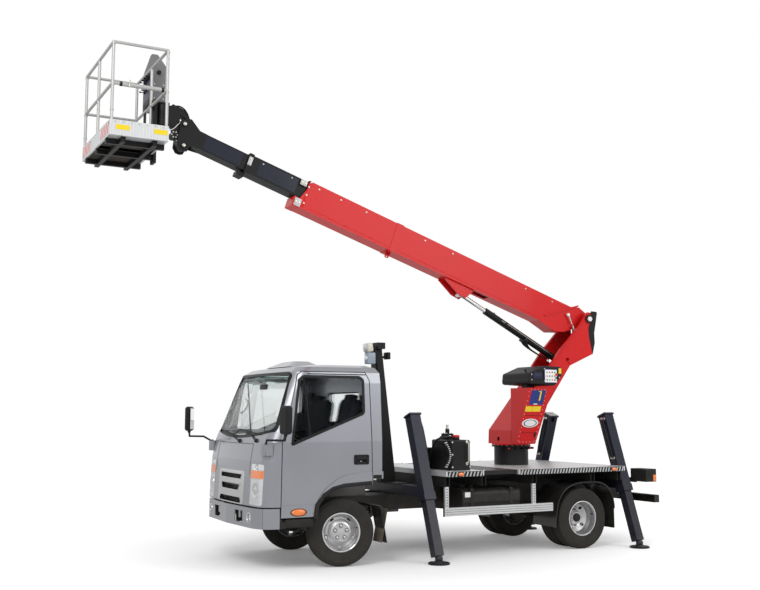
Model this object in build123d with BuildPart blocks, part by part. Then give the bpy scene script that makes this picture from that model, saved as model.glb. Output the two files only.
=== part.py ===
from build123d import *
import math
import os

os.makedirs("parts", exist_ok=True)

# Cherry picker truck, millimetres.  The front faces -Y, the truck's left is +X, the ground is Z = 0.
# Places along the truck are measured behind the front axle, whose line is at Y = axle_y.
axle_y = -935
wheelbase = 3365
rear_y = axle_y + wheelbase

# Wheels
tyre_radius = 385
tyre_width = 190
rim_radius = 222
front_wheel_x = 785
rear_outer_x = 860
rear_inner_x = 620
kingpin_x = 650
steer_rest = -13

# Frame
rail_outer_x = 375
rail_bottom = 560
rail_top = 740
subframe_top = 862
deck_top = 1040
deck_half_width = 1050
front_legs_y = axle_y + 1040
rear_legs_y = axle_y + 4080

# Outriggers: each leg leans outward from its top to its pad on the ground.
leg_top = (600, 1700)
leg_foot = (1200, 0)
leg_outer = 140
leg_wall = 8
leg_inner = 114
pad_radius = 125

# Cab
cab_wall = 55
door_gap = 10
cab_bow = 45
# Plan sections of the cab: height, front behind the axle, half width, rear behind the axle.
cab_sections = (
    (586, -1100, 945, 430),
    (1200, -1065, 950, 430),
    (1410, -1025, 950, 430),
    (2080, -750, 905, 430),
    (2200, -700, 885, 425),
    (2262, -600, 825, 395),
    (2292, -380, 700, 330),
)
roof_rows_from = 2150

# Turret and boom
turret_y = axle_y + 2930
pivot_y = axle_y + 4160
pivot_z = 3055
boom_angle = 18.8
lift_base_y = axle_y + 3800
lift_base_z = 2440
lift_eye_u = 2018
lift_eye_v = -400
boom_width = 240
boom_bottom = -300
boom_top = 80

# Basket
post_y = axle_y - 1990
jib_pin_u = 6186
jib_pin_v = -199
basket_half_width = 690
basket_front = axle_y - 2760
basket_rear = axle_y - 2110
basket_floor = 4720
basket_rail_top = 5780


def aft(distance):
    # Y of a place that many millimetres behind the front axle.
    return axle_y + distance


def across(y):
    # A plane across the truck, seen from the front: local x is X, local y is Z.
    return Plane(origin=(0, y, 0), x_dir=(1, 0, 0), z_dir=(0, -1, 0))


def side_plane(x):
    # A plane along the truck, seen from its left: local x is Y, local y is Z.
    return Plane.YZ.offset(x)


def boom_point(u, v):
    # Y and Z of a point u along the boom from its pivot and v above its line.
    slope = math.radians(boom_angle)
    y = pivot_y - u * math.cos(slope) + v * math.sin(slope)
    z = pivot_z + u * math.sin(slope) + v * math.cos(slope)
    return (y, z)


slope = math.radians(boom_angle)
boom_plane = Plane(
    origin=(0, pivot_y, pivot_z), x_dir=(0, -math.cos(slope), math.sin(slope)), z_dir=(-1, 0, 0)
)


def save(part, name):
    part.label = name
    export_step(part, "parts/" + name + ".step")


# Frame rails and cross members

rail_section = [
    (rail_outer_x, rail_bottom),
    (rail_outer_x, rail_top),
    (310, rail_top),
    (310, rail_top - 8),
    (rail_outer_x - 8, rail_top - 8),
    (rail_outer_x - 8, rail_bottom + 8),
    (310, rail_bottom + 8),
    (310, rail_bottom),
]

with BuildPart() as chassis_frame:
    with BuildSketch(across(aft(-1025))):
        with BuildLine():
            Polyline(*rail_section, close=True)
        make_face()
    extrude(amount=-(4450 + 1025))
    mirror(about=Plane.YZ)
    # Cross members: place, bottom, top.
    for place, low, high in (
        (-900, 570, 730), (1300, 676, 730), (2250, 570, 730), (2750, 570, 730), (4000, 570, 730),
        (4400, 570, 730),
    ):
        with Locations((0, aft(place), (low + high) / 2)):
            Box(2 * (rail_outer_x - 8), 70, high - low)
        with Locations((0, aft(place), (low + high) / 2)):
            Box(2 * (rail_outer_x - 8), 54, high - low - 16, mode=Mode.SUBTRACT)
    # Bolt holes for a tow hitch, in the rear cross member
    with Locations(Plane(origin=(0, aft(4435), 690), x_dir=(1, 0, 0), z_dir=(0, 1, 0))):
        with GridLocations(120, 55, 2, 2):
            Hole(7.5, depth=8)
save(chassis_frame.part, "chassis_frame")

# Subframe with the bearers that carry the deck

with BuildPart() as subframe:
    sill_z = (rail_top + subframe_top) / 2
    with Locations((342, aft(2560), sill_z), (-342, aft(2560), sill_z)):
        Box(66, 2900, subframe_top - rail_top)
    with Locations((342, aft(2560), sill_z), (-342, aft(2560), sill_z)):
        Box(50, 2900, subframe_top - rail_top - 16, mode=Mode.SUBTRACT)
    bearer_low = subframe_top - 6
    bearer_z = (bearer_low + deck_top - 5) / 2
    for place in (1290, 2570, 3500, 3940):
        with Locations((0, aft(place), bearer_z)):
            Box(2 * 1000, 60, deck_top - 5 - bearer_low)
        with Locations((0, aft(place), bearer_z - 4)):
            Box(2 * 1000, 44, deck_top - 13 - bearer_low, mode=Mode.SUBTRACT)
    # Low middle section between the two decks, with its own bearer
    with Locations((0, aft(2040), deck_top - 11)):
        Box(2 * 1010, 516, 12)
    with Locations((1004, aft(2040), deck_top - 30), (-1004, aft(2040), deck_top - 30)):
        Box(12, 516, 50)
    with Locations((0, aft(1810), bearer_z)):
        Box(2 * 1000, 60, deck_top - 5 - bearer_low)
    with Locations((0, aft(1810), bearer_z - 4)):
        Box(2 * 1000, 44, deck_top - 13 - bearer_low, mode=Mode.SUBTRACT)
save(subframe.part, "subframe")

# Outriggers: a cross beam under two leaning housings

lean = math.atan2(leg_foot[0] - leg_top[0], leg_top[1] - leg_foot[1])
lean_deg = math.degrees(lean)


def leg_plane(distance, y, side):
    # Square across a leg at a distance down it from its top.
    x = leg_top[0] + distance * math.sin(lean)
    z = leg_top[1] - distance * math.cos(lean)
    return Plane(
        origin=(side * x, y, z), x_dir=(0, 1, 0), z_dir=(side * math.sin(lean), 0, -math.cos(lean))
    )


housing_length = 1060

with BuildPart() as outriggers_front:
    with Locations((0, front_legs_y, (rail_top + subframe_top) / 2)):
        Box(2 * 860, 130, subframe_top - rail_top)
    for side in (1, -1):
        with BuildSketch(leg_plane(0, front_legs_y, side)):
            Rectangle(leg_outer, leg_outer)
        extrude(amount=housing_length)
        with BuildSketch(leg_plane(housing_length - 90, front_legs_y, side)):
            Rectangle(leg_outer + 16, leg_outer + 16)
        extrude(amount=90)
        with BuildSketch(leg_plane(-12, front_legs_y, side)):
            Rectangle(leg_outer + 24, leg_outer + 24)
        extrude(amount=20)
        # Lug on the inner side, for folding straps
        with BuildSketch(leg_plane(8, front_legs_y, side)):
            with Locations((0, -side * (leg_outer / 2 + 14))):
                Rectangle(20, 44)
        extrude(amount=70)
    for side in (1, -1):
        with BuildSketch(leg_plane(10, front_legs_y, side)):
            Rectangle(leg_outer - 2 * leg_wall, leg_outer - 2 * leg_wall)
        extrude(amount=housing_length, mode=Mode.SUBTRACT)
save(outriggers_front.part, "outriggers_front")

with BuildPart() as outriggers_rear:
    add(outriggers_front.part.moved(Location((0, rear_legs_y - front_legs_y, 0))))
save(outriggers_rear.part, "outriggers_rear")

# The sliding legs, each with a ball joint and a round pad

leg_length = math.hypot(leg_foot[0] - leg_top[0], leg_top[1] - leg_foot[1])
leg_start = 480
leg_names = (
    ("leg_front_left", front_legs_y, 1),
    ("leg_front_right", front_legs_y, -1),
    ("leg_rear_left", rear_legs_y, 1),
    ("leg_rear_right", rear_legs_y, -1),
)
for leg_name, y, side in leg_names:
    with BuildPart() as leg:
        with BuildSketch(leg_plane(leg_start, y, side)):
            Rectangle(leg_inner, leg_inner)
        extrude(amount=leg_length - leg_start - 90)
        with BuildSketch(leg_plane(leg_start - 5, y, side)):
            Rectangle(leg_inner - 16, leg_inner - 16)
        extrude(amount=leg_length - leg_start - 110, mode=Mode.SUBTRACT)
        with Locations((side * leg_foot[0], y, 62)):
            Sphere(46)
        with Locations((side * leg_foot[0], y, 10)):
            Cylinder(pad_radius, 20)
        with Locations((side * leg_foot[0], y, 27)):
            Cone(95, 50, 26)
    save(leg.part, leg_name)

# Pedestal under the turret

with BuildPart() as pedestal:
    with Locations((0, turret_y, (subframe_top + deck_top - 5) / 2)):
        Box(750, 520, deck_top - 5 - subframe_top)
    with Locations((0, turret_y, (deck_top - 5 + 1280) / 2)):
        Cylinder(230, 1280 - deck_top + 5)
    with Locations((0, turret_y, 1290)):
        Cylinder(262, 20)
    with Locations((0, turret_y, 1180)):
        Cylinder(200, 300, mode=Mode.SUBTRACT)
save(pedestal.part, "pedestal")

# Deck plates with turned-down edges, in front of and behind an open bay

with BuildPart() as deck_plates:
    for start, end in ((1240, 1780), (2300, 4000)):
        with Locations((0, aft((start + end) / 2), deck_top - 30)):
            Box(2 * deck_half_width, end - start, 60)
        with Locations((0, aft((start + end) / 2), deck_top - 5 - 40)):
            Box(2 * deck_half_width - 10, end - start - 10, 80, mode=Mode.SUBTRACT)
    with Locations((0, turret_y, deck_top)):
        Cylinder(232, 100, mode=Mode.SUBTRACT)
save(deck_plates.part, "deck_plates")

# Side guards hung from the deck

with BuildPart() as side_guards:
    with Locations((990, aft(2045), 560)):
        Box(30, 1610, 100)
    with Locations((982, aft(2045), 560)):
        Box(30, 1610, 84, mode=Mode.SUBTRACT)
    with Locations((970, aft(1290), 705), (970, aft(2570), 705)):
        Box(30, 50, 302)
    mirror(about=Plane.YZ)
save(side_guards.part, "side_guards")

# Fuel tank on the left, tool box on the right

with BuildPart() as fuel_tank:
    with Locations((670, aft(1990), 700)):
        Box(460, 850, 230)
    fillet(fuel_tank.edges().filter_by(Axis.Y), 80)
    with Locations((660, aft(1700), 825)):
        Cylinder(45, 40)
    with Locations((408, aft(1700), 700), (408, aft(2200), 700)):
        Box(66, 60, 120)
save(fuel_tank.part, "fuel_tank")

with BuildPart() as tool_box:
    with Locations((-670, aft(1960), 680)):
        Box(460, 900, 270)
    with Locations((-408, aft(1700), 700), (-408, aft(2200), 700)):
        Box(66, 60, 120)
save(tool_box.part, "tool_box")

# Oil tank on the deck with its filler, and a smaller box in front of it

with BuildPart() as oil_tank:
    with BuildSketch(Plane.XY.offset(deck_top)):
        with Locations((650, aft(1556))):
            Rectangle(480, 294)
        fillet(vertices(), 45)
    extrude(amount=366)
    fillet(oil_tank.faces().sort_by(Axis.Z)[-1].edges(), 22)
    # Filler cap, then the hand pump's block and its body
    with Locations((790, aft(1550), deck_top + 380)):
        Cylinder(40, 40)
    with Locations((600, aft(1540), deck_top + 400)):
        Box(110, 110, 80)
    with Locations((600, aft(1540), deck_top + 466)):
        Cylinder(26, 60)
    with Locations((300, aft(1400), deck_top + 130)):
        Box(200, 200, 260)
save(oil_tank.part, "oil_tank")

# Boom rest: a mast behind the cab with a padded top

with BuildPart() as boom_rest:
    with BuildSketch(side_plane(0)):
        with BuildLine():
            Polyline(
                (aft(890), 870), (aft(1100), 870), (aft(1085), 1040), (aft(905), 2540), (aft(800), 2540),
                (aft(880), 1040), close=True,
            )
        make_face()
    extrude(amount=60, both=True)
    with BuildSketch(side_plane(0)):
        with BuildLine():
            Polyline(
                (aft(915), 1000), (aft(1060), 1000), (aft(880), 2500), (aft(820), 2500), (aft(905), 1040),
                close=True,
            )
        make_face()
    extrude(amount=52, both=True, mode=Mode.SUBTRACT)
    with Locations((0, aft(850), 2580)):
        Box(300, 110, 80)
    with Locations((0, aft(990), subframe_top + 6)):
        Box(750, 240, 12)
save(boom_rest.part, "boom_rest")

# Front axle: a dropped beam with kingpin eyes, on two leaf springs

with BuildPart() as front_axle:
    with BuildSketch(across(axle_y)):
        with BuildLine():
            Polyline(
                (-620, 355), (-560, 355), (-480, 300), (480, 300), (560, 355), (620, 355), (620, 415),
                (560, 415), (470, 370), (-470, 370), (-560, 415), (-620, 415), close=True,
            )
        make_face()
    extrude(amount=35, both=True)
    with Locations((kingpin_x, axle_y, 385), (-kingpin_x, axle_y, 385)):
        Cylinder(38, 80)
    with Locations((kingpin_x, axle_y, 385), (-kingpin_x, axle_y, 385)):
        Cylinder(21, 80, mode=Mode.SUBTRACT)
    with BuildSketch(side_plane(372)):
        with BuildLine():
            Polyline(
                (aft(-600), 520), (aft(-560), 545), (aft(-300), 470), (aft(0), 440), (aft(300), 470),
                (aft(560), 545), (aft(600), 520), (aft(570), 490), (aft(300), 420), (aft(150), 370),
                (aft(-150), 370), (aft(-300), 420), (aft(-570), 490), close=True,
            )
        make_face()
    extrude(amount=58)
    mirror(about=Plane.YZ)
    with Locations(
        (395, aft(-585), 570), (395, aft(585), 570), (-395, aft(-585), 570), (-395, aft(585), 570),
    ):
        Box(40, 60, 110)
save(front_axle.part, "front_axle")

# Knuckles: built straight ahead at the left wheel, then steered

with BuildPart() as knuckle_straight:
    with Locations((kingpin_x, axle_y, 385)):
        Cylinder(15, 170)
    with Locations((kingpin_x, axle_y, 455), (kingpin_x, axle_y, 315)):
        Cylinder(36, 50)
    with Locations((702, axle_y, 385)):
        Box(16, 110, 190)
    with Locations((675, axle_y, 455), (675, axle_y, 315)):
        Box(50, 60, 44)
    with Locations(Location((722, axle_y, 385), (0, 90, 0))):
        Cylinder(150, 24)

# Front wheel, straight ahead on the left: outboard is +X, radii are from the wheel's axle

front_wheel_plane = Plane(origin=(front_wheel_x, axle_y, 385), x_dir=(1, 0, 0), z_dir=(0, -1, 0))
front_spin = Axis((front_wheel_x, axle_y, 385), (1, 0, 0))
tyre_profile = [
    (-80, rim_radius), (-95, 262), (-95, 330), (-78, 378), (-60, tyre_radius), (60, tyre_radius),
    (78, 378), (95, 330), (95, 262), (80, rim_radius),
]

with BuildPart() as front_tyre:
    with BuildSketch(front_wheel_plane):
        with BuildLine():
            Polyline(*tyre_profile, close=True)
        make_face()
    revolve(axis=front_spin)

front_rim_profile = [
    (-80, rim_radius), (80, rim_radius), (84, 214), (70, 208), (30, 204), (8, 190), (22, 150), (48, 118),
    (56, 100), (58, 0), (-30, 0), (-30, 90), (36, 96), (28, 112), (6, 140), (-8, 185), (-40, 196),
    (-70, 206), (-84, 214),
]

with BuildPart() as front_rim:
    with BuildSketch(front_wheel_plane):
        with BuildLine():
            Polyline(*front_rim_profile, close=True)
        make_face()
    revolve(axis=front_spin)
    nut_ring = Plane(origin=(front_wheel_x + 56, axle_y, 385), x_dir=(0, 1, 0), z_dir=(1, 0, 0))
    with BuildSketch(nut_ring):
        with PolarLocations(72, 5, start_angle=90):
            Circle(14)
    extrude(amount=18)
    # Oval vents between the nuts
    with BuildSketch(nut_ring):
        with PolarLocations(168, 5, start_angle=54):
            SlotOverall(50, 24, rotation=90)
    extrude(amount=-80, mode=Mode.SUBTRACT)

steer_left = Axis((kingpin_x, axle_y, 0), (0, 0, 1))
steer_right = Axis((-kingpin_x, axle_y, 0), (0, 0, 1))
for stem, straight in (("knuckle", knuckle_straight), ("rim_front", front_rim), ("tyre_front", front_tyre)):
    with BuildPart() as left_piece:
        add(straight.part.rotate(steer_left, steer_rest))
    save(left_piece.part, stem + "_left")
    with BuildPart() as right_piece:
        add(straight.part.mirror(Plane.YZ).rotate(steer_right, steer_rest))
    save(right_piece.part, stem + "_right")

# Rear twins on the left: two tyres, and two rims joined at their discs

rear_plane = Plane(origin=(rear_outer_x, rear_y, 385), x_dir=(1, 0, 0), z_dir=(0, -1, 0))
rear_spin = Axis((rear_outer_x, rear_y, 385), (1, 0, 0))
twin = rear_inner_x - rear_outer_x

with BuildPart() as rear_tyre:
    with BuildSketch(rear_plane):
        with BuildLine():
            Polyline(*tyre_profile, close=True)
        make_face()
        with BuildLine():
            Polyline(*[(x + twin, r) for x, r in tyre_profile], close=True)
        make_face()
    revolve(axis=rear_spin)

with BuildPart() as rear_rim:
    with BuildSketch(rear_plane):
        with BuildLine():
            Polyline(
                (-80, rim_radius), (80, rim_radius), (84, 214), (60, 206), (0, 202), (-60, 180), (-96, 130),
                (-108, 95), (-60, 90), (-40, 70), (-40, 0), (-150, 0), (-150, 110), (-126, 118),
                (-112, 140),
                (-80, 196), (-84, 214), close=True,
            )
        make_face()
        with BuildLine():
            Polyline(
                (twin + 80, rim_radius), (twin - 80, rim_radius), (twin - 84, 214), (twin - 60, 206),
                (twin, 202),
                (-176, 180), (-144, 130), (-132, 100), (-108, 100), (-112, 130), (-120, 140), (-146, 206),
                (twin + 84, 214), close=True,
            )
        make_face()
    revolve(axis=rear_spin)
    # Round hand holes through both discs
    hand_holes = Plane(origin=(rear_outer_x, rear_y, 385), x_dir=(0, 1, 0), z_dir=(1, 0, 0))
    with BuildSketch(hand_holes):
        with PolarLocations(150, 4, start_angle=50):
            Circle(21)
    extrude(amount=-300, mode=Mode.SUBTRACT)

for stem, straight in (("rim_rear", rear_rim), ("tyre_rear", rear_tyre)):
    with BuildPart() as left_piece:
        add(straight.part)
    save(left_piece.part, stem + "_left")
    with BuildPart() as right_piece:
        add(straight.part.mirror(Plane.YZ))
    save(right_piece.part, stem + "_right")

# Rear axle: casing, differential, leaf springs and propeller shaft

with BuildPart() as rear_axle:
    with Locations(Location((0, rear_y, 385), (0, 90, 0))):
        Cylinder(60, 1010)
    with Locations((0, rear_y, 385)):
        Sphere(150)
    with Locations(Location((0, rear_y - 160, 395), (90, 0, 0))):
        Cylinder(75, 160)
    with Locations(Location((480, rear_y, 385), (0, 90, 0)), Location((-480, rear_y, 385), (0, 90, 0))):
        Cylinder(150, 40)
    with BuildSketch(side_plane(400)):
        with BuildLine():
            Polyline(
                (rear_y - 640, 520), (rear_y - 600, 548), (rear_y - 300, 490), (rear_y, 465),
                (rear_y + 300, 490), (rear_y + 600, 548), (rear_y + 640, 520), (rear_y + 610, 490),
                (rear_y + 300, 430), (rear_y + 120, 385), (rear_y - 120, 385), (rear_y - 300, 430),
                (rear_y - 610, 490), close=True,
            )
        make_face()
    extrude(amount=58)
    mirror(about=Plane.YZ)
    with Locations(
        (395, rear_y - 620, 570), (395, rear_y + 620, 570), (-395, rear_y - 620, 570),
        (-395, rear_y + 620, 570),
    ):
        Box(40, 60, 110)
    shaft_rise = 615 - 395
    shaft_run = (rear_y - 240) - aft(1095)
    shaft_tilt = math.degrees(math.atan2(shaft_rise, shaft_run))
    with Locations(Location((0, (rear_y - 240 + aft(1095)) / 2, (615 + 395) / 2), (90 - shaft_tilt, 0, 0))):
        Cylinder(38, math.hypot(shaft_rise, shaft_run))
save(rear_axle.part, "rear_axle")

# Engine and gearbox: one plain block

with BuildPart() as engine_block:
    with Locations((0, aft(50), 665)):
        Box(580, 1000, 430)
    with Locations((0, aft(800), 622)):
        Box(340, 560, 225)
save(engine_block.part, "engine_block")

# Front bumper: a hollow bar that wraps to the doors' edges

bumper_plan = [
    (-945, -842), (-930, -950), (-880, -1030), (-720, -1085), (0, -1122), (720, -1085), (880, -1030),
    (930, -950), (945, -842),
]
bumper_inner = [
    (885, -842), (870, -935), (830, -990), (700, -1030), (0, -1065), (-700, -1030), (-830, -990),
    (-870, -935), (-885, -842),
]

with BuildPart() as front_bumper:
    with BuildSketch(Plane.XY.offset(470)):
        with BuildLine():
            Polyline(*[(x, aft(d)) for x, d in bumper_plan + bumper_inner], close=True)
        make_face()
    extrude(amount=220)
    with BuildSketch(Plane.XY.offset(482)):
        with BuildLine():
            Polyline(
                *[(x * 0.985, aft(d + 12)) for x, d in bumper_plan],
                *[(x * 0.97, aft(d + 40)) for x, d in bumper_inner], close=True,
            )
        make_face()
    extrude(amount=196, mode=Mode.SUBTRACT)
    # Two openings for the tow hooks, then two round lamp recesses
    with Locations((360, aft(-1100), 580), (-360, aft(-1100), 580)):
        Box(220, 140, 125, mode=Mode.SUBTRACT)
    with Locations(
        Location((640, aft(-1080), 580), (90, 0, 0)), Location((-640, aft(-1080), 580), (90, 0, 0)),
    ):
        Cylinder(52, 120, mode=Mode.SUBTRACT)
    with Locations((342, aft(-1055), 625), (-342, aft(-1055), 625)):
        Box(60, 60, 130)
save(front_bumper.part, "front_bumper")

# Steps under the doors, with the strips that reach back from the bumper

with BuildPart() as cab_steps:
    with Locations((925, aft(-803), 507), (-925, aft(-803), 507)):
        Box(30, 78, 74)
    with Locations((865, aft(-600), 522), (-865, aft(-600), 522)):
        Box(130, 330, 85)
    with Locations((895, aft(-765), 510), (-895, aft(-765), 510)):
        Box(50, 20, 50)
save(cab_steps.part, "cab_steps")

# Mudguards: flaps behind the front wheels, arches and flaps at the rear ones

guard_arch = [
    (2905, 300), (2925, 480), (2970, 640), (3085, 775), (3250, 838), (3500, 852), (3680, 830),
    (3800, 750), (3865, 610),
    (3880, 500),
]

with BuildPart() as mudguards:
    with BuildSketch(side_plane(700)):
        with BuildLine():
            Polyline((aft(420), 650), (aft(500), 245), (aft(508), 245), (aft(430), 660), close=True)
        make_face()
    extrude(amount=230)
    with Locations(Location((653, aft(425), 655), (0, 90, 0))):
        Cylinder(14, 554)
    with BuildSketch(side_plane(500)):
        with BuildLine():
            outer = Spline(*[(aft(d), z) for d, z in guard_arch])
            inner = Spline(*[(aft(3400 + 0.98 * (d - 3400)), 0.98 * z) for d, z in guard_arch])
            Line(outer @ 0, inner @ 0)
            Line(outer @ 1, inner @ 1)
        make_face()
    extrude(amount=475)
    with Locations((740, aft(3868), 385)):
        Box(440, 10, 290)
    with Locations((740, aft(3500), 846)):
        Box(300, 30, 32)
    mirror(about=Plane.YZ)
save(mudguards.part, "mudguards")

# Tail lamps on brackets, then the rear underrun beam

with BuildPart() as tail_lamps:
    with Locations((850, aft(4500), 900), (-850, aft(4500), 900)):
        Box(300, 180, 170)
    with Locations((0, aft(4430), 830)):
        Box(1560, 40, 60)
    with Locations((342, aft(4430), 770), (-342, aft(4430), 770)):
        Box(60, 40, 60)
save(tail_lamps.part, "tail_lamps")

with BuildPart() as rear_underrun:
    with Locations((0, aft(4590), 590)):
        Box(2000, 80, 100)
    with Locations((0, aft(4580), 590)):
        Box(1984, 80, 84, mode=Mode.SUBTRACT)
    with Locations((342, aft(4510), 620), (-342, aft(4510), 620)):
        Box(50, 120, 110)
save(rear_underrun.part, "rear_underrun")


# Cab


def cab_solid(inset):
    # The cab's outside, or a solid that lies that far inside it.
    with BuildPart() as solid:
        for height, front, half_width, rear in cab_sections:
            level = height - inset if height > roof_rows_from else height
            y_bow = aft(front) + cab_bow
            y_front = aft(front) + inset
            x_bow = half_width - 120 - 0.25 * inset
            x_side = half_width - inset
            y_rear = aft(rear) - inset
            corner = (half_width - 35 - 0.85 * inset, y_bow + 79 + 0.53 * inset)
            with BuildSketch(Plane.XY.offset(level)):
                with BuildLine():
                    ThreePointArc((-x_bow, y_bow + inset), (0, y_front), (x_bow, y_bow + inset))
                    ThreePointArc((x_bow, y_bow + inset), corner, (x_side, y_bow + 190))
                    Polyline(
                        (x_side, y_bow + 190), (x_side, y_rear), (-x_side, y_rear),
                        (-x_side, y_bow + 190),
                    )
                    ThreePointArc((-x_side, y_bow + 190), (-corner[0], corner[1]), (-x_bow, y_bow + inset))
                make_face()
        loft(ruled=True)
    return solid.part


cab_outside = cab_solid(0)
cab_bulge = cab_solid(-12)
cab_glass_out = cab_solid(8)
cab_glass_in = cab_solid(14)
door_glass_out = cab_solid(20)
door_glass_in = cab_solid(26)
cab_inside = cab_solid(cab_wall)
door_recess = cab_solid(cab_wall + 8)

# Side outlines: behind the axle, height
door_outline = [
    (-825, 560), (-815, 1410), (-800, 1450), (-600, 2165), (-555, 2200), (235, 2200), (280, 2110),
    (300, 925),
    (300, 560),
]
arch_outline = [
    (-390, 560), (-372, 700), (-300, 800), (-190, 866), (-60, 895), (305, 915), (313, 980), (520, 980),
    (520, 560),
]
flare_outline = [
    (-406, 570), (-398, 700), (-359, 808), (-286, 890), (-163, 979), (-37, 1032), (154, 1058),
    (440, 1062), (440, 570),
]
door_window = [(-712, 1372), (212, 1725), (212, 2118), (165, 2158), (-560, 2158), (-612, 2110)]
# Windscreen: X, height, as seen from the front
screen_side = [(-885, 1525), (-895, 1590), (-872, 1760), (-850, 1890), (-815, 2110), (-730, 2205)]
rear_window = (900, 380)

with BuildPart() as door_shape:
    with BuildSketch(side_plane(600)):
        with BuildLine():
            Polyline(*[(aft(d), z) for d, z in door_outline], close=True)
        make_face()
    extrude(amount=400)

with BuildPart() as door_hole:
    with BuildSketch(side_plane(600)):
        with BuildLine():
            Polyline(*[(aft(d), z) for d, z in door_outline], close=True)
        make_face()
        offset(amount=door_gap, kind=Kind.INTERSECTION)
    extrude(amount=400)
    add(door_recess, mode=Mode.SUBTRACT)
    mirror(about=Plane.YZ)

with BuildPart() as arch_cut:
    with BuildSketch(side_plane(0)):
        with BuildLine():
            Polyline(*[(aft(d), z) for d, z in arch_outline], close=True)
        make_face()
    extrude(amount=1000, both=True)

with BuildPart() as window_cut:
    with BuildSketch(side_plane(600)):
        with BuildLine():
            Polyline(*[(aft(d), z) for d, z in door_window], close=True)
        make_face()
        fillet(vertices(), 30)
    extrude(amount=400)

with BuildPart() as screen_cut:
    with BuildSketch(across(aft(-1200))):
        with BuildLine():
            Spline(*screen_side, tangents=((-0.6, 1), (1, 0.25)))
            Polyline(screen_side[-1], (730, 2205))
            Spline(*[(-x, z) for x, z in screen_side], tangents=((0.6, 1), (-1, 0.25)))
            ThreePointArc((885, 1525), (0, 1445), (-885, 1525))
        make_face()
    extrude(amount=-680)

with BuildPart() as rear_window_cut:
    with Locations((0, aft(400), 1800)):
        Box(rear_window[0], 120, rear_window[1])
    fillet(rear_window_cut.edges().filter_by(Axis.Y), 50)

with BuildPart() as front_wall:
    add(cab_outside)
    add(cab_inside, mode=Mode.SUBTRACT)
    with Locations((0, aft(-1065), 1055)):
        Box(2 * 870, 270, 700, mode=Mode.INTERSECT)

with BuildPart() as lamp_blocks:
    with Locations((735, aft(-1065), 945), (-735, aft(-1065), 945)):
        Box(260, 270, 450)
    fillet(lamp_blocks.edges().filter_by(Axis.Y), 30)

with BuildPart() as grille_block:
    with Locations((0, aft(-1065), 892)):
        Box(840, 270, 374)
    fillet(grille_block.edges().filter_by(Axis.Y), 45)

# The room under the cab's floor, then the cabin
with BuildPart() as below_floor:
    add(cab_inside)
    with Locations((0, 0, 500)):
        Box(4000, 8000, 800, mode=Mode.INTERSECT)

with BuildPart() as cabin:
    add(cab_inside)
    with Locations((0, 0, 950 + 1000)):
        Box(4000, 8000, 2000, mode=Mode.INTERSECT)
    with Locations((0, aft(360), 990)):
        Box(2000, 200, 100, mode=Mode.SUBTRACT)

# The flare over the wheel arch stands out from the cab's side
with BuildPart() as arch_flare:
    with BuildSketch(side_plane(600)):
        with BuildLine():
            Polyline(*[(aft(d), z) for d, z in flare_outline], close=True)
        make_face()
        fillet(vertices().sort_by(Axis.Y)[3:6], 60)
    extrude(amount=400)
    mirror(about=Plane.YZ)
    add(cab_bulge, mode=Mode.INTERSECT)
    add(cab_inside, mode=Mode.SUBTRACT)

with BuildPart() as cab_shell:
    add(cab_outside)
    add(arch_flare.part)
    # Vent hood on the roof
    for height, centre, width, depth in ((2280, -290, 760, 460), (2352, -265, 430, 210)):
        with BuildSketch(Plane.XY.offset(height)):
            with Locations((0, aft(centre))):
                Rectangle(width, depth)
            fillet(vertices(), 60)
    loft(ruled=True)
    add(below_floor.part, mode=Mode.SUBTRACT)
    add(cabin.part, mode=Mode.SUBTRACT)
    add(door_hole.part, mode=Mode.SUBTRACT)
    add(arch_cut.part, mode=Mode.SUBTRACT)
    with Locations((0, aft(-1065), 600)):
        Box(2400, 464, 210, mode=Mode.SUBTRACT)
    add(screen_cut.part, mode=Mode.SUBTRACT)
    add(rear_window_cut.part, mode=Mode.SUBTRACT)
    add(front_wall.part, mode=Mode.SUBTRACT)
save(cab_shell.part, "cab_shell")

with BuildPart() as front_panel:
    add(front_wall.part)
    add(lamp_blocks.part, mode=Mode.SUBTRACT)
    add(grille_block.part, mode=Mode.SUBTRACT)
save(front_panel.part, "front_panel")

with BuildPart() as headlamps:
    add(front_wall.part)
    add(lamp_blocks.part, mode=Mode.INTERSECT)
save(headlamps.part, "headlamps")

with BuildPart() as grille:
    add(front_wall.part)
    add(grille_block.part, mode=Mode.INTERSECT)
    # Air slots: height, width at the bottom and top, height of the slot
    for height, low_width, high_width, slot in (
        (1014, 640, 700, 52), (892, 520, 620, 66), (748, 740, 640, 60),
    ):
        with BuildSketch(across(aft(-1200))):
            with BuildLine():
                Polyline(
                    (-low_width / 2, height - slot / 2), (low_width / 2, height - slot / 2),
                    (high_width / 2, height + slot / 2), (-high_width / 2, height + slot / 2), close=True,
                )
            make_face()
            fillet(vertices(), 18)
        extrude(amount=-200, mode=Mode.SUBTRACT)
save(grille.part, "grille")

with BuildPart() as pane_room:
    add(screen_cut.part)
    add(rear_window_cut.part)

with BuildPart() as cab_glass:
    add(cab_glass_out)
    add(cab_glass_in, mode=Mode.SUBTRACT)
    add(pane_room.part, mode=Mode.INTERSECT)
save(cab_glass.part, "cab_glass")

# Doors, as thick as the cab's wall, each with its pane

with BuildPart() as door_left:
    add(cab_outside)
    add(arch_flare.part)
    add(cab_inside, mode=Mode.SUBTRACT)
    add(door_shape.part, mode=Mode.INTERSECT)
    add(arch_cut.part, mode=Mode.SUBTRACT)
    add(window_cut.part, mode=Mode.SUBTRACT)
    # Handle recess, and the groove above the sill panel
    with Locations((955, aft(161), 1203)):
        Box(50, 135, 84, mode=Mode.SUBTRACT)
    with Locations((955, aft(-610), 722)):
        Box(26, 400, 9, mode=Mode.SUBTRACT)
save(door_left.part, "door_left")

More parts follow.
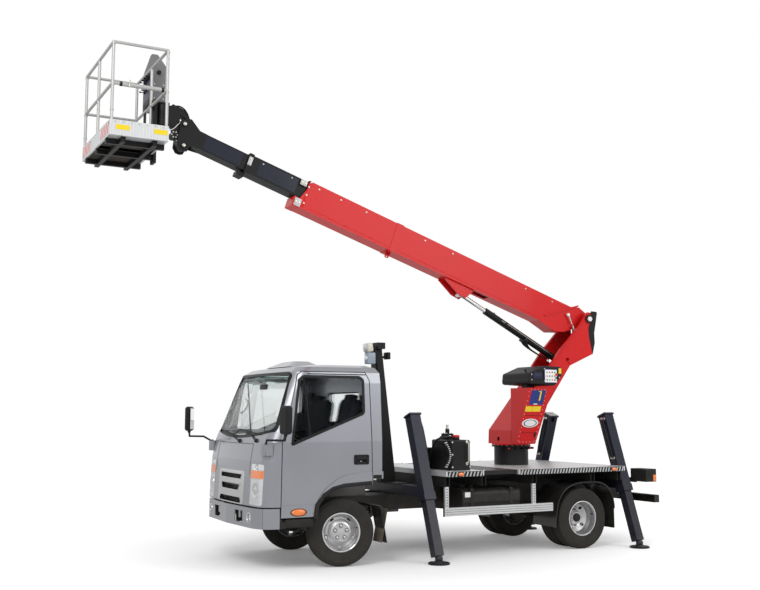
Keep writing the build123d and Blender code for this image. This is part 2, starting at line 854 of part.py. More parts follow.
with BuildPart() as door_glass_left:
    add(door_glass_out)
    add(door_glass_in, mode=Mode.SUBTRACT)
    add(window_cut.part, mode=Mode.INTERSECT)
save(door_glass_left.part, "door_glass_left")

with BuildPart() as door_right:
    add(door_left.part.mirror(Plane.YZ))
save(door_right.part, "door_right")

with BuildPart() as door_glass_right:
    add(door_glass_left.part.mirror(Plane.YZ))
save(door_glass_right.part, "door_glass_right")

# Cab interior: seats, dashboard and steering wheel

with BuildPart() as seats:
    for x, width in ((420, 500), (-430, 640)):
        with Locations((x, aft(-20), 1075)):
            Box(width - 100, 360, 250)
        with Locations((x, aft(-20), 1260)):
            Box(width, 470, 120)
        with BuildSketch(side_plane(x)):
            with BuildLine():
                Polyline((aft(140), 1290), (aft(260), 1940), (aft(350), 1950), (aft(300), 1290), close=True)
            make_face()
        extrude(amount=width / 2, both=True)
save(seats.part, "seats")

with BuildPart() as dashboard:
    with BuildSketch(side_plane(0)):
        with BuildLine():
            Polyline(
                (aft(-1100), 1100), (aft(-680), 1100), (aft(-620), 1280), (aft(-680), 1400),
                (aft(-1100), 1420), close=True,
            )
        make_face()
    extrude(amount=800, both=True)
    add(cab_inside, mode=Mode.INTERSECT)
save(dashboard.part, "dashboard")

with BuildPart() as steering_wheel:
    wheel_plane = Plane(
        origin=(420, aft(-450), 1420), x_dir=(1, 0, 0),
        z_dir=(0, math.sin(math.radians(35)), math.cos(math.radians(35))),
    )
    with Locations(wheel_plane.location):
        Torus(205, 15)
        Cylinder(45, 40)
        Box(400, 40, 16)
        with Locations((0, 0, -140)):
            Cylinder(28, 280)
save(steering_wheel.part, "steering_wheel")

# Mirrors on arms from the cab's front corners: side, head's place behind the axle

with BuildPart() as mirror_head:
    Box(165, 80, 310)
    fillet(mirror_head.edges(), 34)

with BuildPart() as mirrors:
    # Fairings that carry the arms
    for side in (1, -1):
        with Locations((side * 880, aft(-975), 1330)):
            Box(130, 130, 120)
    fillet(mirrors.edges().filter_by(Axis.Z), 40)
    add(cab_outside, mode=Mode.SUBTRACT)
    for side, head_d, bend_d, turn in ((1, -900, -1030, 12), (-1, -1200, -1080, -38)):
        with Locations(Location((side * 1230, aft(head_d), 1660), (0, 0, turn))):
            add(mirror_head.part)
        with BuildLine() as arm_path:
            Polyline(
                (side * 900, aft(-1000), 1380), (side * 1010, aft(bend_d), 1440),
                (side * 1210, aft(head_d), 1440), (side * 1230, aft(head_d), 1520),
            )
        with BuildSketch(Plane(origin=arm_path.line @ 0, z_dir=arm_path.line % 0)):
            Circle(12)
        sweep(path=arm_path.line, transition=Transition.ROUND)
save(mirrors.part, "mirrors")

# Turret column: a boxed foot that narrows into two fork plates

column_half = 200
plate = 12
column_profile = [
    (2990, 1840), (3450, 2390), (3610, 2590), (3980, 2970), (4085, 3115), (4130, 3150), (4170, 3152),
    (4205, 3120),
    (4212, 3060), (4150, 2930), (4158, 2800), (4215, 2560), (3810, 2390), (3400, 1840),
]
column_inside = [
    (3004, 1830), (3440, 2370), (3400, 2420), (3400, 3300), (4400, 3300), (4400, 2900), (4230, 2890),
    (4199, 2570), (3803, 2402), (3388, 1830),
]

fork_strip = [
    (3450, 2390), (3610, 2590), (3980, 2970), (4085, 3115), (4093, 3107), (3988, 2961), (3619, 2583),
    (3459, 2383),
]

with BuildPart() as turret_column:
    foot_rows = ((1318, 262, 2738, 3140), (1500, 262, 2745, 3195), (1840, 200, 2990, 3400))
    for height, half, front, rear in foot_rows:
        with BuildSketch(Plane.XY.offset(height)):
            with Locations((0, aft((front + rear) / 2))):
                Rectangle(2 * half, rear - front)
    loft(ruled=True)
    with BuildSketch(side_plane(0)):
        with BuildLine():
            Polyline(*[(aft(d), z) for d, z in column_profile], close=True)
        make_face()
    extrude(amount=column_half, both=True)
    for height, half, front, rear in foot_rows:
        with BuildSketch(Plane.XY.offset(height + (12 if height < 1400 else 0))):
            with Locations((0, aft((front + rear) / 2))):
                Rectangle(2 * (half - plate), rear - front - 2 * plate)
    loft(ruled=True, mode=Mode.SUBTRACT)
    with BuildSketch(side_plane(0)):
        with BuildLine():
            Polyline(*[(aft(d), z) for d, z in column_inside], close=True)
        make_face()
    extrude(amount=column_half - plate, both=True, mode=Mode.SUBTRACT)
    with Locations((0, turret_y, 1312)):
        Cylinder(262, 12)
    # Room in the rear plate for the lift cylinder's base
    with Locations(Location((0, lift_base_y, lift_base_z), (0, 90, 0))):
        Cylinder(72, 100, mode=Mode.SUBTRACT)
    # Stiffening strips along the front edges of the fork plates
    for side in (1, -1):
        with BuildSketch(side_plane(side * column_half)):
            with BuildLine():
                Polyline(*[(aft(d), z) for d, z in fork_strip], close=True)
            make_face()
        extrude(amount=side * 28)
    # Hand hole in the foot's front and a round hole in each fork plate
    with Locations(Location((-28, aft(2740), 1384), (90, 0, 0))):
        Cylinder(30, 60, mode=Mode.SUBTRACT)
    with Locations(Location((0, aft(3770), 2470), (0, 90, 0))):
        Cylinder(30, 2 * column_half + 20, mode=Mode.SUBTRACT)
    # The boom's pivot pin and the lift cylinder's base pin
    with Locations(Location((0, pivot_y, pivot_z), (0, 90, 0))):
        Cylinder(34, 2 * column_half + 30)
    with Locations(Location((0, lift_base_y, lift_base_z), (0, 90, 0))):
        Cylinder(24, 2 * column_half + 24)
save(turret_column.part, "turret_column")

# Black cover over the hoses behind the pivot, open to the front

cover_outline = [
    (4222, 3172), (4312, 3168), (4326, 3150), (4300, 3010), (4268, 2860), (4274, 2720), (4232, 2560),
    (4222, 2600),
    (4172, 2800), (4168, 2925), (4222, 3050),
]
cover_inside = [
    (4200, 3200), (4304, 3200), (4318, 3145), (4292, 3012), (4260, 2862), (4266, 2722), (4228, 2572),
    (4160, 2560),
    (4120, 2925),
]

with BuildPart() as hose_cover:
    with BuildSketch(side_plane(0)):
        with BuildLine():
            Polyline(*[(aft(d), z) for d, z in cover_outline], close=True)
        make_face()
    extrude(amount=186, both=True)
    with BuildSketch(side_plane(0)):
        with BuildLine():
            Polyline(*[(aft(d), z) for d, z in cover_inside], close=True)
        make_face()
    extrude(amount=178, both=True, mode=Mode.SUBTRACT)
save(hose_cover.part, "hose_cover")

# Valve box beside the foot, wider towards its top

with BuildPart() as valve_box:
    for height, outer, depth in ((1330, 400, 3040), (2060, 700, 3110)):
        with BuildSketch(Plane.XY.offset(height)):
            with Locations(((290 + outer) / 2, aft((2730 + depth) / 2))):
                Rectangle(outer - 290, depth - 2730)
    loft(ruled=True)
    with Locations((288, aft(2860), 1400)):
        Box(6, 120, 120)
save(valve_box.part, "valve_box")

# Control console above the valve box

console_profile = [(2730, 2110), (3160, 2090), (3280, 2230), (3280, 2340), (3000, 2350), (2745, 2250)]

with BuildPart() as column_room:
    with BuildSketch(side_plane(0)):
        with BuildLine():
            Polyline(*[(aft(d), z) for d, z in column_profile], close=True)
        make_face()
    extrude(amount=column_half + 4, both=True)

with BuildPart() as control_console:
    with BuildSketch(side_plane(90)):
        with BuildLine():
            Polyline(*[(aft(d), z) for d, z in console_profile], close=True)
        make_face()
        fillet(vertices(), 38)
    extrude(amount=610)
    fillet(control_console.faces().sort_by(Axis.X)[-1].edges(), 22)
    add(column_room.part, mode=Mode.SUBTRACT)
    # Display recess and panel recess on the left side
    for place, length in ((2880, 190), (3110, 170)):
        with Locations((700, aft(place), 2225)):
            Box(16, length, 120, mode=Mode.SUBTRACT)
    with Locations((450, aft(2900), 2085)):
        Box(120, 120, 50)
save(control_console.part, "control_console")

# Boom base: the red box section, hollow, with its pivot lugs

with BuildPart() as boom_base:
    with BuildSketch(boom_plane):
        with BuildLine():
            Polyline(
                (290, boom_top), (4530, boom_top), (4670, boom_bottom), (700, boom_bottom), (456, -356),
                (320, boom_bottom), close=True,
            )
        make_face()
    extrude(amount=boom_width / 2, both=True)
    with BuildSketch(boom_plane):
        with BuildLine():
            Polyline(
                (-20, -92), (300, -300), (456, -356), (760, -300), (760, 60), (300, 80), (150, 125),
                (30, 92), (-70, 60), (-90, -20), close=True,
            )
        make_face()
    extrude(amount=boom_width / 2, both=True)
    with BuildSketch(boom_plane):
        with Locations((2400, (boom_top + boom_bottom) / 2)):
            Rectangle(5200, boom_top - boom_bottom - 16)
    extrude(amount=boom_width / 2 - 10, both=True, mode=Mode.SUBTRACT)
    with BuildSketch(boom_plane):
        Rectangle(420, 320)
    extrude(amount=boom_width / 2 - 16, both=True, mode=Mode.SUBTRACT)
    with BuildSketch(boom_plane):
        Circle(40)
    extrude(amount=200, both=True, mode=Mode.SUBTRACT)
    # Guide block in the lower half of the mouth
    with BuildSketch(boom_plane):
        with Locations((4648, -244)):
            Rectangle(104, 128)
    extrude(amount=boom_width / 2 - 10, both=True)
    # Ribs on both sides of the rear end, and a strap with its eye plate below
    for offset_out, side in ((-boom_width / 2, -1), (boom_width / 2, 1)):
        with BuildSketch(boom_plane.offset(offset_out)):
            with BuildLine():
                Polyline((680, -214), (172, 128), (182, 148), (694, -196), close=True)
            make_face()
        extrude(amount=side * 14)
    with BuildSketch(boom_plane):
        with Locations((3205, (boom_top + boom_bottom) / 2)):
            Rectangle(110, boom_top - boom_bottom + 12)
    extrude(amount=boom_width / 2 + 6, both=True)
    with BuildSketch(boom_plane):
        with Locations((3205, (boom_top + boom_bottom) / 2)):
            Rectangle(140, boom_top - boom_bottom - 16)
    extrude(amount=boom_width / 2 - 10, both=True, mode=Mode.SUBTRACT)
    with BuildSketch(boom_plane):
        with BuildLine():
            Polyline((3170, -300), (3190, -372), (3235, -372), (3255, -300), close=True)
        make_face()
        with Locations((3212, -350)):
            Circle(12, mode=Mode.SUBTRACT)
    extrude(amount=8, both=True)
    # Ears for the lift cylinder's rod
    for inner in (70, -90):
        with BuildSketch(boom_plane.offset(inner)):
            with BuildLine():
                Polyline(
                    (1860, boom_bottom + 1), (2340, boom_bottom + 1), (2340, -325), (2090, -440),
                    (1960, -450), close=True,
                )
            make_face()
        extrude(amount=20)
    # Pocket above the rod's eye
    with BuildSketch(boom_plane):
        with Locations((1925, -270)):
            Rectangle(650, 80)
    extrude(amount=66, both=True, mode=Mode.SUBTRACT)
save(boom_base.part, "boom_base")

# Boom middle stage

with BuildPart() as boom_mid:
    with BuildSketch(boom_plane):
        with Locations(((600 + 5400) / 2, (66 - 169) / 2)):
            Rectangle(4800, 235)
    extrude(amount=97, both=True)
    with BuildSketch(boom_plane):
        with Locations((3000, (60 - 163) / 2)):
            Rectangle(5000, 223)
    extrude(amount=91, both=True, mode=Mode.SUBTRACT)
    # Collar at the mouth with a guide block below it
    with BuildSketch(boom_plane):
        with Locations((5370, (66 - 169) / 2)):
            Rectangle(60, 235 + 24)
    extrude(amount=109, both=True)
    with BuildSketch(boom_plane):
        with Locations((5425, -208)):
            Rectangle(90, 54)
    extrude(amount=70, both=True)
    with BuildSketch(boom_plane):
        with Locations((5350, (60 - 163) / 2)):
            Rectangle(200, 223)
    extrude(amount=91, both=True, mode=Mode.SUBTRACT)
save(boom_mid.part, "boom_mid")

# Boom tip stage with the head's two plates, whose outline is along and above the boom's line

head_plate = [
    (5960, -151), (6110, -172), (6123, -245), (6160, -268), (6213, -270), (6262, -225), (6284, -120),
    (6290, -20),
    (6318, 60), (6305, 92), (6202, 144), (6060, 56), (5960, 54),
]

with BuildPart() as boom_tip:
    with BuildSketch(boom_plane):
        with Locations(((1210 + 6070) / 2, (54 - 151) / 2)):
            Rectangle(4860, 205)
    extrude(amount=85, both=True)
    for inner in (75, -90):
        with BuildSketch(boom_plane.offset(inner)):
            with BuildLine():
                Polyline(*head_plate, close=True)
            make_face()
        extrude(amount=15)
    with BuildSketch(boom_plane):
        with Locations((3600, (48 - 145) / 2)):
            Rectangle(5200, 193)
    extrude(amount=75, both=True, mode=Mode.SUBTRACT)
    with Locations(boom_plane.location):
        with Locations(Location((jib_pin_u, jib_pin_v, 0))):
            Cylinder(20, 210)
        with Locations(Location((6260, 50, 88)), Location((6260, 50, -88))):
            Cylinder(22, 34)
save(boom_tip.part, "boom_tip")

# Lift cylinder, opened at the rod's eye

eye_y, eye_z = boom_point(lift_eye_u, lift_eye_v)
lift_length = math.hypot(eye_y - lift_base_y, eye_z - lift_base_z)
lift_dir = ((eye_y - lift_base_y) / lift_length, (eye_z - lift_base_z) / lift_length)
barrel_length = lift_length - 460


def lift_plane(distance):
    # Square across the cylinder at a distance from its base pin.
    return Plane(
        origin=(0, lift_base_y + distance * lift_dir[0], lift_base_z + distance * lift_dir[1]),
        x_dir=(1, 0, 0), z_dir=(0, lift_dir[0], lift_dir[1]),
    )


with BuildPart() as lift_barrel:
    with BuildSketch(lift_plane(60)):
        Circle(46)
    extrude(amount=barrel_length - 60)
    with BuildSketch(lift_plane(72)):
        Circle(36)
    extrude(amount=barrel_length, mode=Mode.SUBTRACT)
    with BuildSketch(side_plane(0)):
        with Locations((lift_base_y, lift_base_z)):
            Circle(62)
    extrude(amount=40, both=True)
    with BuildSketch(side_plane(0)):
        with Locations((lift_base_y, lift_base_z)):
            Circle(30)
    extrude(amount=60, both=True, mode=Mode.SUBTRACT)
save(lift_barrel.part, "lift_barrel")

with BuildPart() as lift_rod:
    with BuildSketch(lift_plane(420)):
        Circle(29)
    extrude(amount=lift_length - 420 - 30)
    with BuildSketch(side_plane(0)):
        with Locations((eye_y, eye_z)):
            Circle(45)
    extrude(amount=45, both=True)
save(lift_rod.part, "lift_rod")

# Jib between the head's plates: an arched arm over them, the link to the pin and the basket's post

jib_outline = [
    (-1812, 4850), (-1885, 5085), (-1990, 5085), (-1990, 5328), (-1888, 5328), (-1888, 5350), (-1809, 5322),
    (-1734, 5260), (-1668, 5188), (-1690, 5160), (-1752, 5212), (-1800, 5238), (-1800, 5120), (-1708, 4865),
]

with BuildPart() as jib:
    with BuildSketch(side_plane(0)):
        with BuildLine():
            Polyline(*[(aft(d), z) for d, z in jib_outline], close=True)
        make_face()
        with Locations(boom_point(jib_pin_u, jib_pin_v)):
            Circle(52)
    extrude(amount=62, both=True)
    with BuildSketch(side_plane(0)):
        with Locations(boom_point(jib_pin_u, jib_pin_v)):
            Circle(26)
    extrude(amount=100, both=True, mode=Mode.SUBTRACT)
    with Locations((0, post_y, 5207)):
        Cylinder(70, 246)
    # Slewing motor of the basket
    with Locations(Location((0, aft(-1860), 4985), (0, 90, 0))):
        Cylinder(44, 128)
save(jib.part, "jib")

# Basket: tray, rails, frame below the floor and control box

basket_mid_y = (basket_front + basket_rear) / 2
basket_depth = basket_rear - basket_front

with BuildPart() as basket_tray:
    with Locations((0, basket_mid_y, basket_floor + 85)):
        Box(2 * basket_half_width, basket_depth, 170)
    with Locations((0, basket_mid_y, basket_floor + 4 + 85)):
        Box(2 * basket_half_width - 8, basket_depth - 8, 170, mode=Mode.SUBTRACT)
save(basket_tray.part, "basket_tray")

with BuildPart() as basket_rails:
    rail_x = basket_half_width - 22
    rail_front = basket_front + 22
    rail_rear = basket_rear - 22
    for height in (5300, basket_rail_top - 17):
        for y in (rail_front, rail_rear):
            with Locations(Location((0, y, height), (0, 90, 0))):
                Cylinder(17, 2 * rail_x)
        for x in (rail_x, -rail_x):
            with Locations(Location((x, basket_mid_y, height), (90, 0, 0))):
                Cylinder(17, rail_rear - rail_front)
    post_height = basket_rail_top - 17 - (basket_floor + 4)
    post_z = basket_floor + 4 + post_height / 2
    for x in (rail_x, 0, -rail_x):
        with Locations((x, rail_front, post_z), (x, rail_rear, post_z)):
            Cylinder(17, post_height)
    for x in (rail_x, -rail_x):
        with Locations((x, rail_front, basket_rail_top - 17), (x, rail_rear, basket_rail_top - 17)):
            Sphere(17)
    # Sleeve of the sliding bar across the entry, on the left
    with Locations(Location((rail_x, basket_mid_y + 10, 5300), (90, 0, 0))):
        Cylinder(23, 480)
save(basket_rails.part, "basket_rails")

with BuildPart() as basket_frame:
    with Locations((0, aft(-2250), 4690), (0, aft(-2600), 4690)):
        Box(1300, 50, 60)
    with Locations((0, basket_mid_y + 10, 4690), (500, basket_mid_y, 4690), (-500, basket_mid_y, 4690)):
        Box(50, basket_depth, 60)
    with Locations((0, aft(-2092), 5000)):
        Box(140, 34, 760)
    with Locations((0, aft(-2020), 5346), (0, aft(-2020), 5062)):
        Box(140, 180, 20)
save(basket_frame.part, "basket_frame")

with BuildPart() as basket_controls:
    with Locations((-330, aft(-2010), 5615)):
        Box(420, 160, 480)
    for height, centre, width, depth in ((5855, -330, 420, 160), (6015, -240, 70, 70)):
        with BuildSketch(Plane.XY.offset(height)):
            with Locations((centre, aft(-2045) if height > 6000 else aft(-2010))):
                Rectangle(width, depth)
    loft(ruled=True)
    # Recess for the levers, open to the people in the basket
    with Locations((-330, aft(-2085), 5775)):
        Box(330, 60, 130, mode=Mode.SUBTRACT)
    with Locations((-330, aft(-2100), 5763)):
        Box(300, 24, 30)
    add(basket_rails.part, mode=Mode.SUBTRACT)
save(basket_controls.part, "basket_controls")
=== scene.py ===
import bpy
import bmesh
import math
from mathutils import Vector, Matrix
from mathutils.bvhtree import BVHTree


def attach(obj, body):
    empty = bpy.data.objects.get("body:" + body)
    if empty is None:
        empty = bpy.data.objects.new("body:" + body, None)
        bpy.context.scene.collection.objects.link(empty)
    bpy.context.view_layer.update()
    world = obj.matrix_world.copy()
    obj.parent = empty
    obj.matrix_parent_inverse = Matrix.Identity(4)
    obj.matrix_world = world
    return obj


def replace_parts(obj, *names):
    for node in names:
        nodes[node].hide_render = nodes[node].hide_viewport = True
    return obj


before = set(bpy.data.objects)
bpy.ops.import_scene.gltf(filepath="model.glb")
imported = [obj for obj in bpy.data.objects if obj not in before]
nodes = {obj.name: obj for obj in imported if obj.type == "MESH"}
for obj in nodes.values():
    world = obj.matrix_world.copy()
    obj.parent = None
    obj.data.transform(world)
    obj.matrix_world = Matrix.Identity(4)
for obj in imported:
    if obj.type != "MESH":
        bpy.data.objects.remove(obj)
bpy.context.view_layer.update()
axleY = -0.935  # the front axle's line


def behind(distance):
    return axleY + distance


# The camera, the floor and the light
cameraSet = {
    "place": (11.41, behind(-5.181), 1.752), "yaw": 151.91, "pitch": 6.58,
    "lens": 47.84, "film": 36, "reach": 200,
}


def makeCamera(c):
    data = bpy.data.cameras.new("photoCamera")
    data.lens = c["lens"]
    data.sensor_width = c["film"]
    data.sensor_fit = "HORIZONTAL"
    data.clip_end = c["reach"]
    cam = bpy.data.objects.new("photoCamera", data)
    bpy.context.scene.collection.objects.link(cam)
    yaw = math.radians(c["yaw"])
    pitch = math.radians(c["pitch"])
    look = Vector((math.cos(yaw) * math.cos(pitch), math.sin(yaw) * math.cos(pitch), math.sin(pitch)))
    cam.location = c["place"]
    cam.rotation_euler = look.to_track_quat("-Z", "Y").to_euler()
    bpy.context.scene.camera = cam


makeCamera(cameraSet)
print("camera placed")


def addNode(tree, kind, settings=None, inputs=None):
    # a shader node with its own settings and the values of its free inputs
    node = tree.nodes.new("ShaderNode" + kind)
    for key, value in (settings or {}).items():
        setattr(node, key, value)
    for key, value in (inputs or {}).items():
        node.inputs[key].default_value = value
    return node


def linkNodes(tree, pairs):
    for a, b in pairs:
        tree.links.new(a, b)


stageSet = {
    "floorSize": 120, "floorGlow": 0.46, "nearGlow": 0.13, "glowFrom": 1.0, "glowTo": 5.5,
    "floorColour": (0.93, 0.93, 0.93, 1), "worldLight": 0.62,
}
white = (1, 1, 1, 1)
black = (0, 0, 0, 1)


def makeFloor(c):
    mesh = bpy.data.meshes.new("studioFloor")
    bm = bmesh.new()
    bmesh.ops.create_grid(bm, x_segments=1, y_segments=1, size=c["floorSize"] / 2)
    bm.to_mesh(mesh)
    bm.free()
    floor = bpy.data.objects.new("studioFloor", mesh)
    bpy.context.scene.collection.objects.link(floor)
    mat = bpy.data.materials.new("floorWhite")
    mat.use_nodes = True
    tree = mat.node_tree
    tree.nodes.clear()
    out = addNode(tree, "OutputMaterial")
    diffuse = addNode(tree, "BsdfDiffuse", inputs={"Color": c["floorColour"]})
    glow = addNode(tree, "Emission")
    rays = addNode(tree, "LightPath")
    # the floor glows white away from the truck, so its shadow fades out
    place = addNode(tree, "TexCoord")
    reach = addNode(tree, "VectorMath", {"operation": "LENGTH"})
    ramp = addNode(tree, "MapRange", {"interpolation_type": "SMOOTHSTEP"}, {
        "From Min": c["glowFrom"], "From Max": c["glowTo"],
        "To Min": c["nearGlow"], "To Max": c["floorGlow"]})
    share = addNode(tree, "Math", {"operation": "MULTIPLY"})
    both = addNode(tree, "AddShader")
    linkNodes(tree, (
        (place.outputs["Object"], reach.inputs[0]), (reach.outputs["Value"], ramp.inputs["Value"]),
        (rays.outputs["Is Camera Ray"], share.inputs[0]), (ramp.outputs[0], share.inputs[1]),
        (share.outputs[0], glow.inputs["Strength"]), (diffuse.outputs[0], both.inputs[0]),
        (glow.outputs[0], both.inputs[1]), (both.outputs[0], out.inputs["Surface"]),
    ))
    mesh.materials.append(mat)


def makeWorld(c):
    # dim light for the truck, plain white for what the camera and reflections see
    world = bpy.data.worlds.new("studioWorld")
    bpy.context.scene.world = world
    world.use_nodes = True
    tree = world.node_tree
    tree.nodes.clear()
    out = addNode(tree, "OutputWorld")
    light = addNode(tree, "Background", inputs={"Color": white, "Strength": c["worldLight"]})
    bright = addNode(tree, "Background", inputs={"Color": white, "Strength": 1.0})
    rays = addNode(tree, "LightPath")
    seen = addNode(tree, "Math", {"operation": "MAXIMUM"})
    anyOfThree = addNode(tree, "Math", {"operation": "MAXIMUM"})
    mix = addNode(tree, "MixShader")
    linkNodes(tree, (
        (rays.outputs["Is Camera Ray"], seen.inputs[0]), (rays.outputs["Is Glossy Ray"], seen.inputs[1]),
        (seen.outputs[0], anyOfThree.inputs[0]), (rays.outputs["Is Transmission Ray"], anyOfThree.inputs[1]),
        (anyOfThree.outputs[0], mix.inputs["Fac"]), (light.outputs[0], mix.inputs[1]),
        (bright.outputs[0], mix.inputs[2]), (mix.outputs[0], out.inputs["Surface"]),
    ))


makeFloor(stageSet)
makeWorld(stageSet)

lampSet = {
    "key": {"place": (9, -9, 11), "energy": 760, "size": 6},
    "side": {"place": (10, 6, 7), "energy": 330, "size": 6},
}
lampAim = Vector((0, 0, 1.5))


def makeLamps(c):
    for name, lamp in c.items():
        data = bpy.data.lights.new(name + "Lamp", "AREA")
        data.energy = lamp["energy"]
        data.size = lamp["size"]
        obj = bpy.data.objects.new(name + "Lamp", data)
        bpy.context.scene.collection.objects.link(obj)
        obj.location = lamp["place"]
        obj.rotation_euler = (lampAim - Vector(lamp["place"])).to_track_quat("-Z", "Y").to_euler()


makeLamps(lampSet)
bpy.context.scene.view_settings.view_transform = "Standard"
print("floor, world and lamps made")

# Finishes: colour, its spread, metal, roughness, clear coat, grain scale, grain height, dust
finishes = {
    "cabSilver": ((0.265, 0.272, 0.300), 0.05, 0.6, 0.30, 0.50, 900, 0.02, 0.10),
    "boomRed": ((0.600, 0.009, 0.010), 0.12, 0.0, 0.32, 0.12, 60, 0.03, 0.04),
    "frameBlack": ((0.008, 0.008, 0.009), 0.30, 0.0, 0.46, 0.03, 80, 0.05, 0.12),
    "legBlueBlack": ((0.010, 0.012, 0.024), 0.20, 0.0, 0.36, 0.10, 70, 0.03, 0.06),
    "greySteel": ((0.46, 0.46, 0.45), 0.15, 0.6, 0.45, 0.0, 40, 0.06, 0.05),
    "rodChrome": ((0.70, 0.70, 0.70), 0.03, 1.0, 0.12, 0.0, 200, 0.01, 0.0),
    "trimChrome": ((0.62, 0.62, 0.63), 0.05, 1.0, 0.14, 0.0, 120, 0.01, 0.04),
    "rimSilver": ((0.52, 0.52, 0.53), 0.08, 0.85, 0.30, 0.0, 120, 0.03, 0.10),
    "tyreRubber": ((0.020, 0.019, 0.018), 0.25, 0.0, 0.80, 0.0, 180, 0.12, 0.05),
    "blackPlastic": ((0.010, 0.010, 0.011), 0.15, 0.0, 0.48, 0.0, 500, 0.05, 0.05),
    "greyPlastic": ((0.170, 0.170, 0.175), 0.10, 0.0, 0.50, 0.0, 500, 0.05, 0.03),
    "guardBlack": ((0.006, 0.006, 0.007), 0.20, 0.0, 0.30, 0.3, 90, 0.05, 0.08),
    "flapRubber": ((0.045, 0.038, 0.030), 0.35, 0.0, 0.80, 0.0, 50, 0.10, 0.45),
    "engineIron": ((0.11, 0.11, 0.11), 0.30, 0.6, 0.60, 0.0, 90, 0.15, 0.20),
    "seatCloth": ((0.030, 0.030, 0.038), 0.20, 0.0, 0.90, 0.0, 700, 0.30, 0.0),
    "lampClear": ((0.62, 0.63, 0.65), 0.20, 0.5, 0.12, 1.0, 60, 0.10, 0.0),
    "tailRed": ((0.300, 0.012, 0.010), 0.10, 0.0, 0.15, 0.8, 100, 0.02, 0.0),
    "lensOrange": ((0.85, 0.20, 0.02), 0.15, 0.0, 0.12, 0.8, 150, 0.05, 0.0),
    "plateYellow": ((0.85, 0.62, 0.02), 0.08, 0.0, 0.40, 0.2, 60, 0.02, 0.05),
    "plateWhite": ((0.80, 0.80, 0.78), 0.05, 0.0, 0.40, 0.1, 60, 0.02, 0.05),
    "plateBlue": ((0.012, 0.030, 0.200), 0.06, 0.0, 0.35, 0.3, 60, 0.02, 0.0),
    "capGrey": ((0.45, 0.46, 0.47), 0.08, 0.0, 0.45, 0.1, 60, 0.03, 0.05),
    "blackRubber": ((0.010, 0.010, 0.011), 0.20, 0.0, 0.42, 0.0, 300, 0.04, 0.0),
    "mirrorGlass": ((0.80, 0.82, 0.84), 0.02, 1.0, 0.03, 0.0, 30, 0.0, 0.0),
    "mastCream": ((0.62, 0.61, 0.52), 0.08, 0.0, 0.25, 0.6, 60, 0.02, 0.0),
    "mastBlue": ((0.30, 0.36, 0.42), 0.08, 0.0, 0.35, 0.3, 60, 0.02, 0.0),
    "zincBolt": ((0.55, 0.54, 0.48), 0.12, 0.9, 0.35, 0.0, 90, 0.04, 0.0),
    "panelNavy": ((0.018, 0.022, 0.060), 0.12, 0.0, 0.40, 0.2, 80, 0.02, 0.0),
    "buttonGreen": ((0.02, 0.30, 0.08), 0.10, 0.0, 0.35, 0.2, 60, 0.02, 0.0),
    "signalRed": ((0.60, 0.02, 0.02), 0.08, 0.0, 0.35, 0.3, 60, 0.02, 0.0),
}
finishSet = {
    "patches": 3.0, "patchDetail": 6, "grainDetail": 3, "grainHeight": 0.002, "coatRough": 0.08,
    "plainShine": 0.20, "brightShine": 0.5, "dustTop": 1.2, "dustFoot": 0.1,
    "dustSpots": 9.0, "dustDetail": 8, "dustShare": 2.2, "dustColour": (0.30, 0.26, 0.20, 1),
}
mixFirst, mixSecond, mixResult = 6, 7, 2  # a colour mix node's sockets


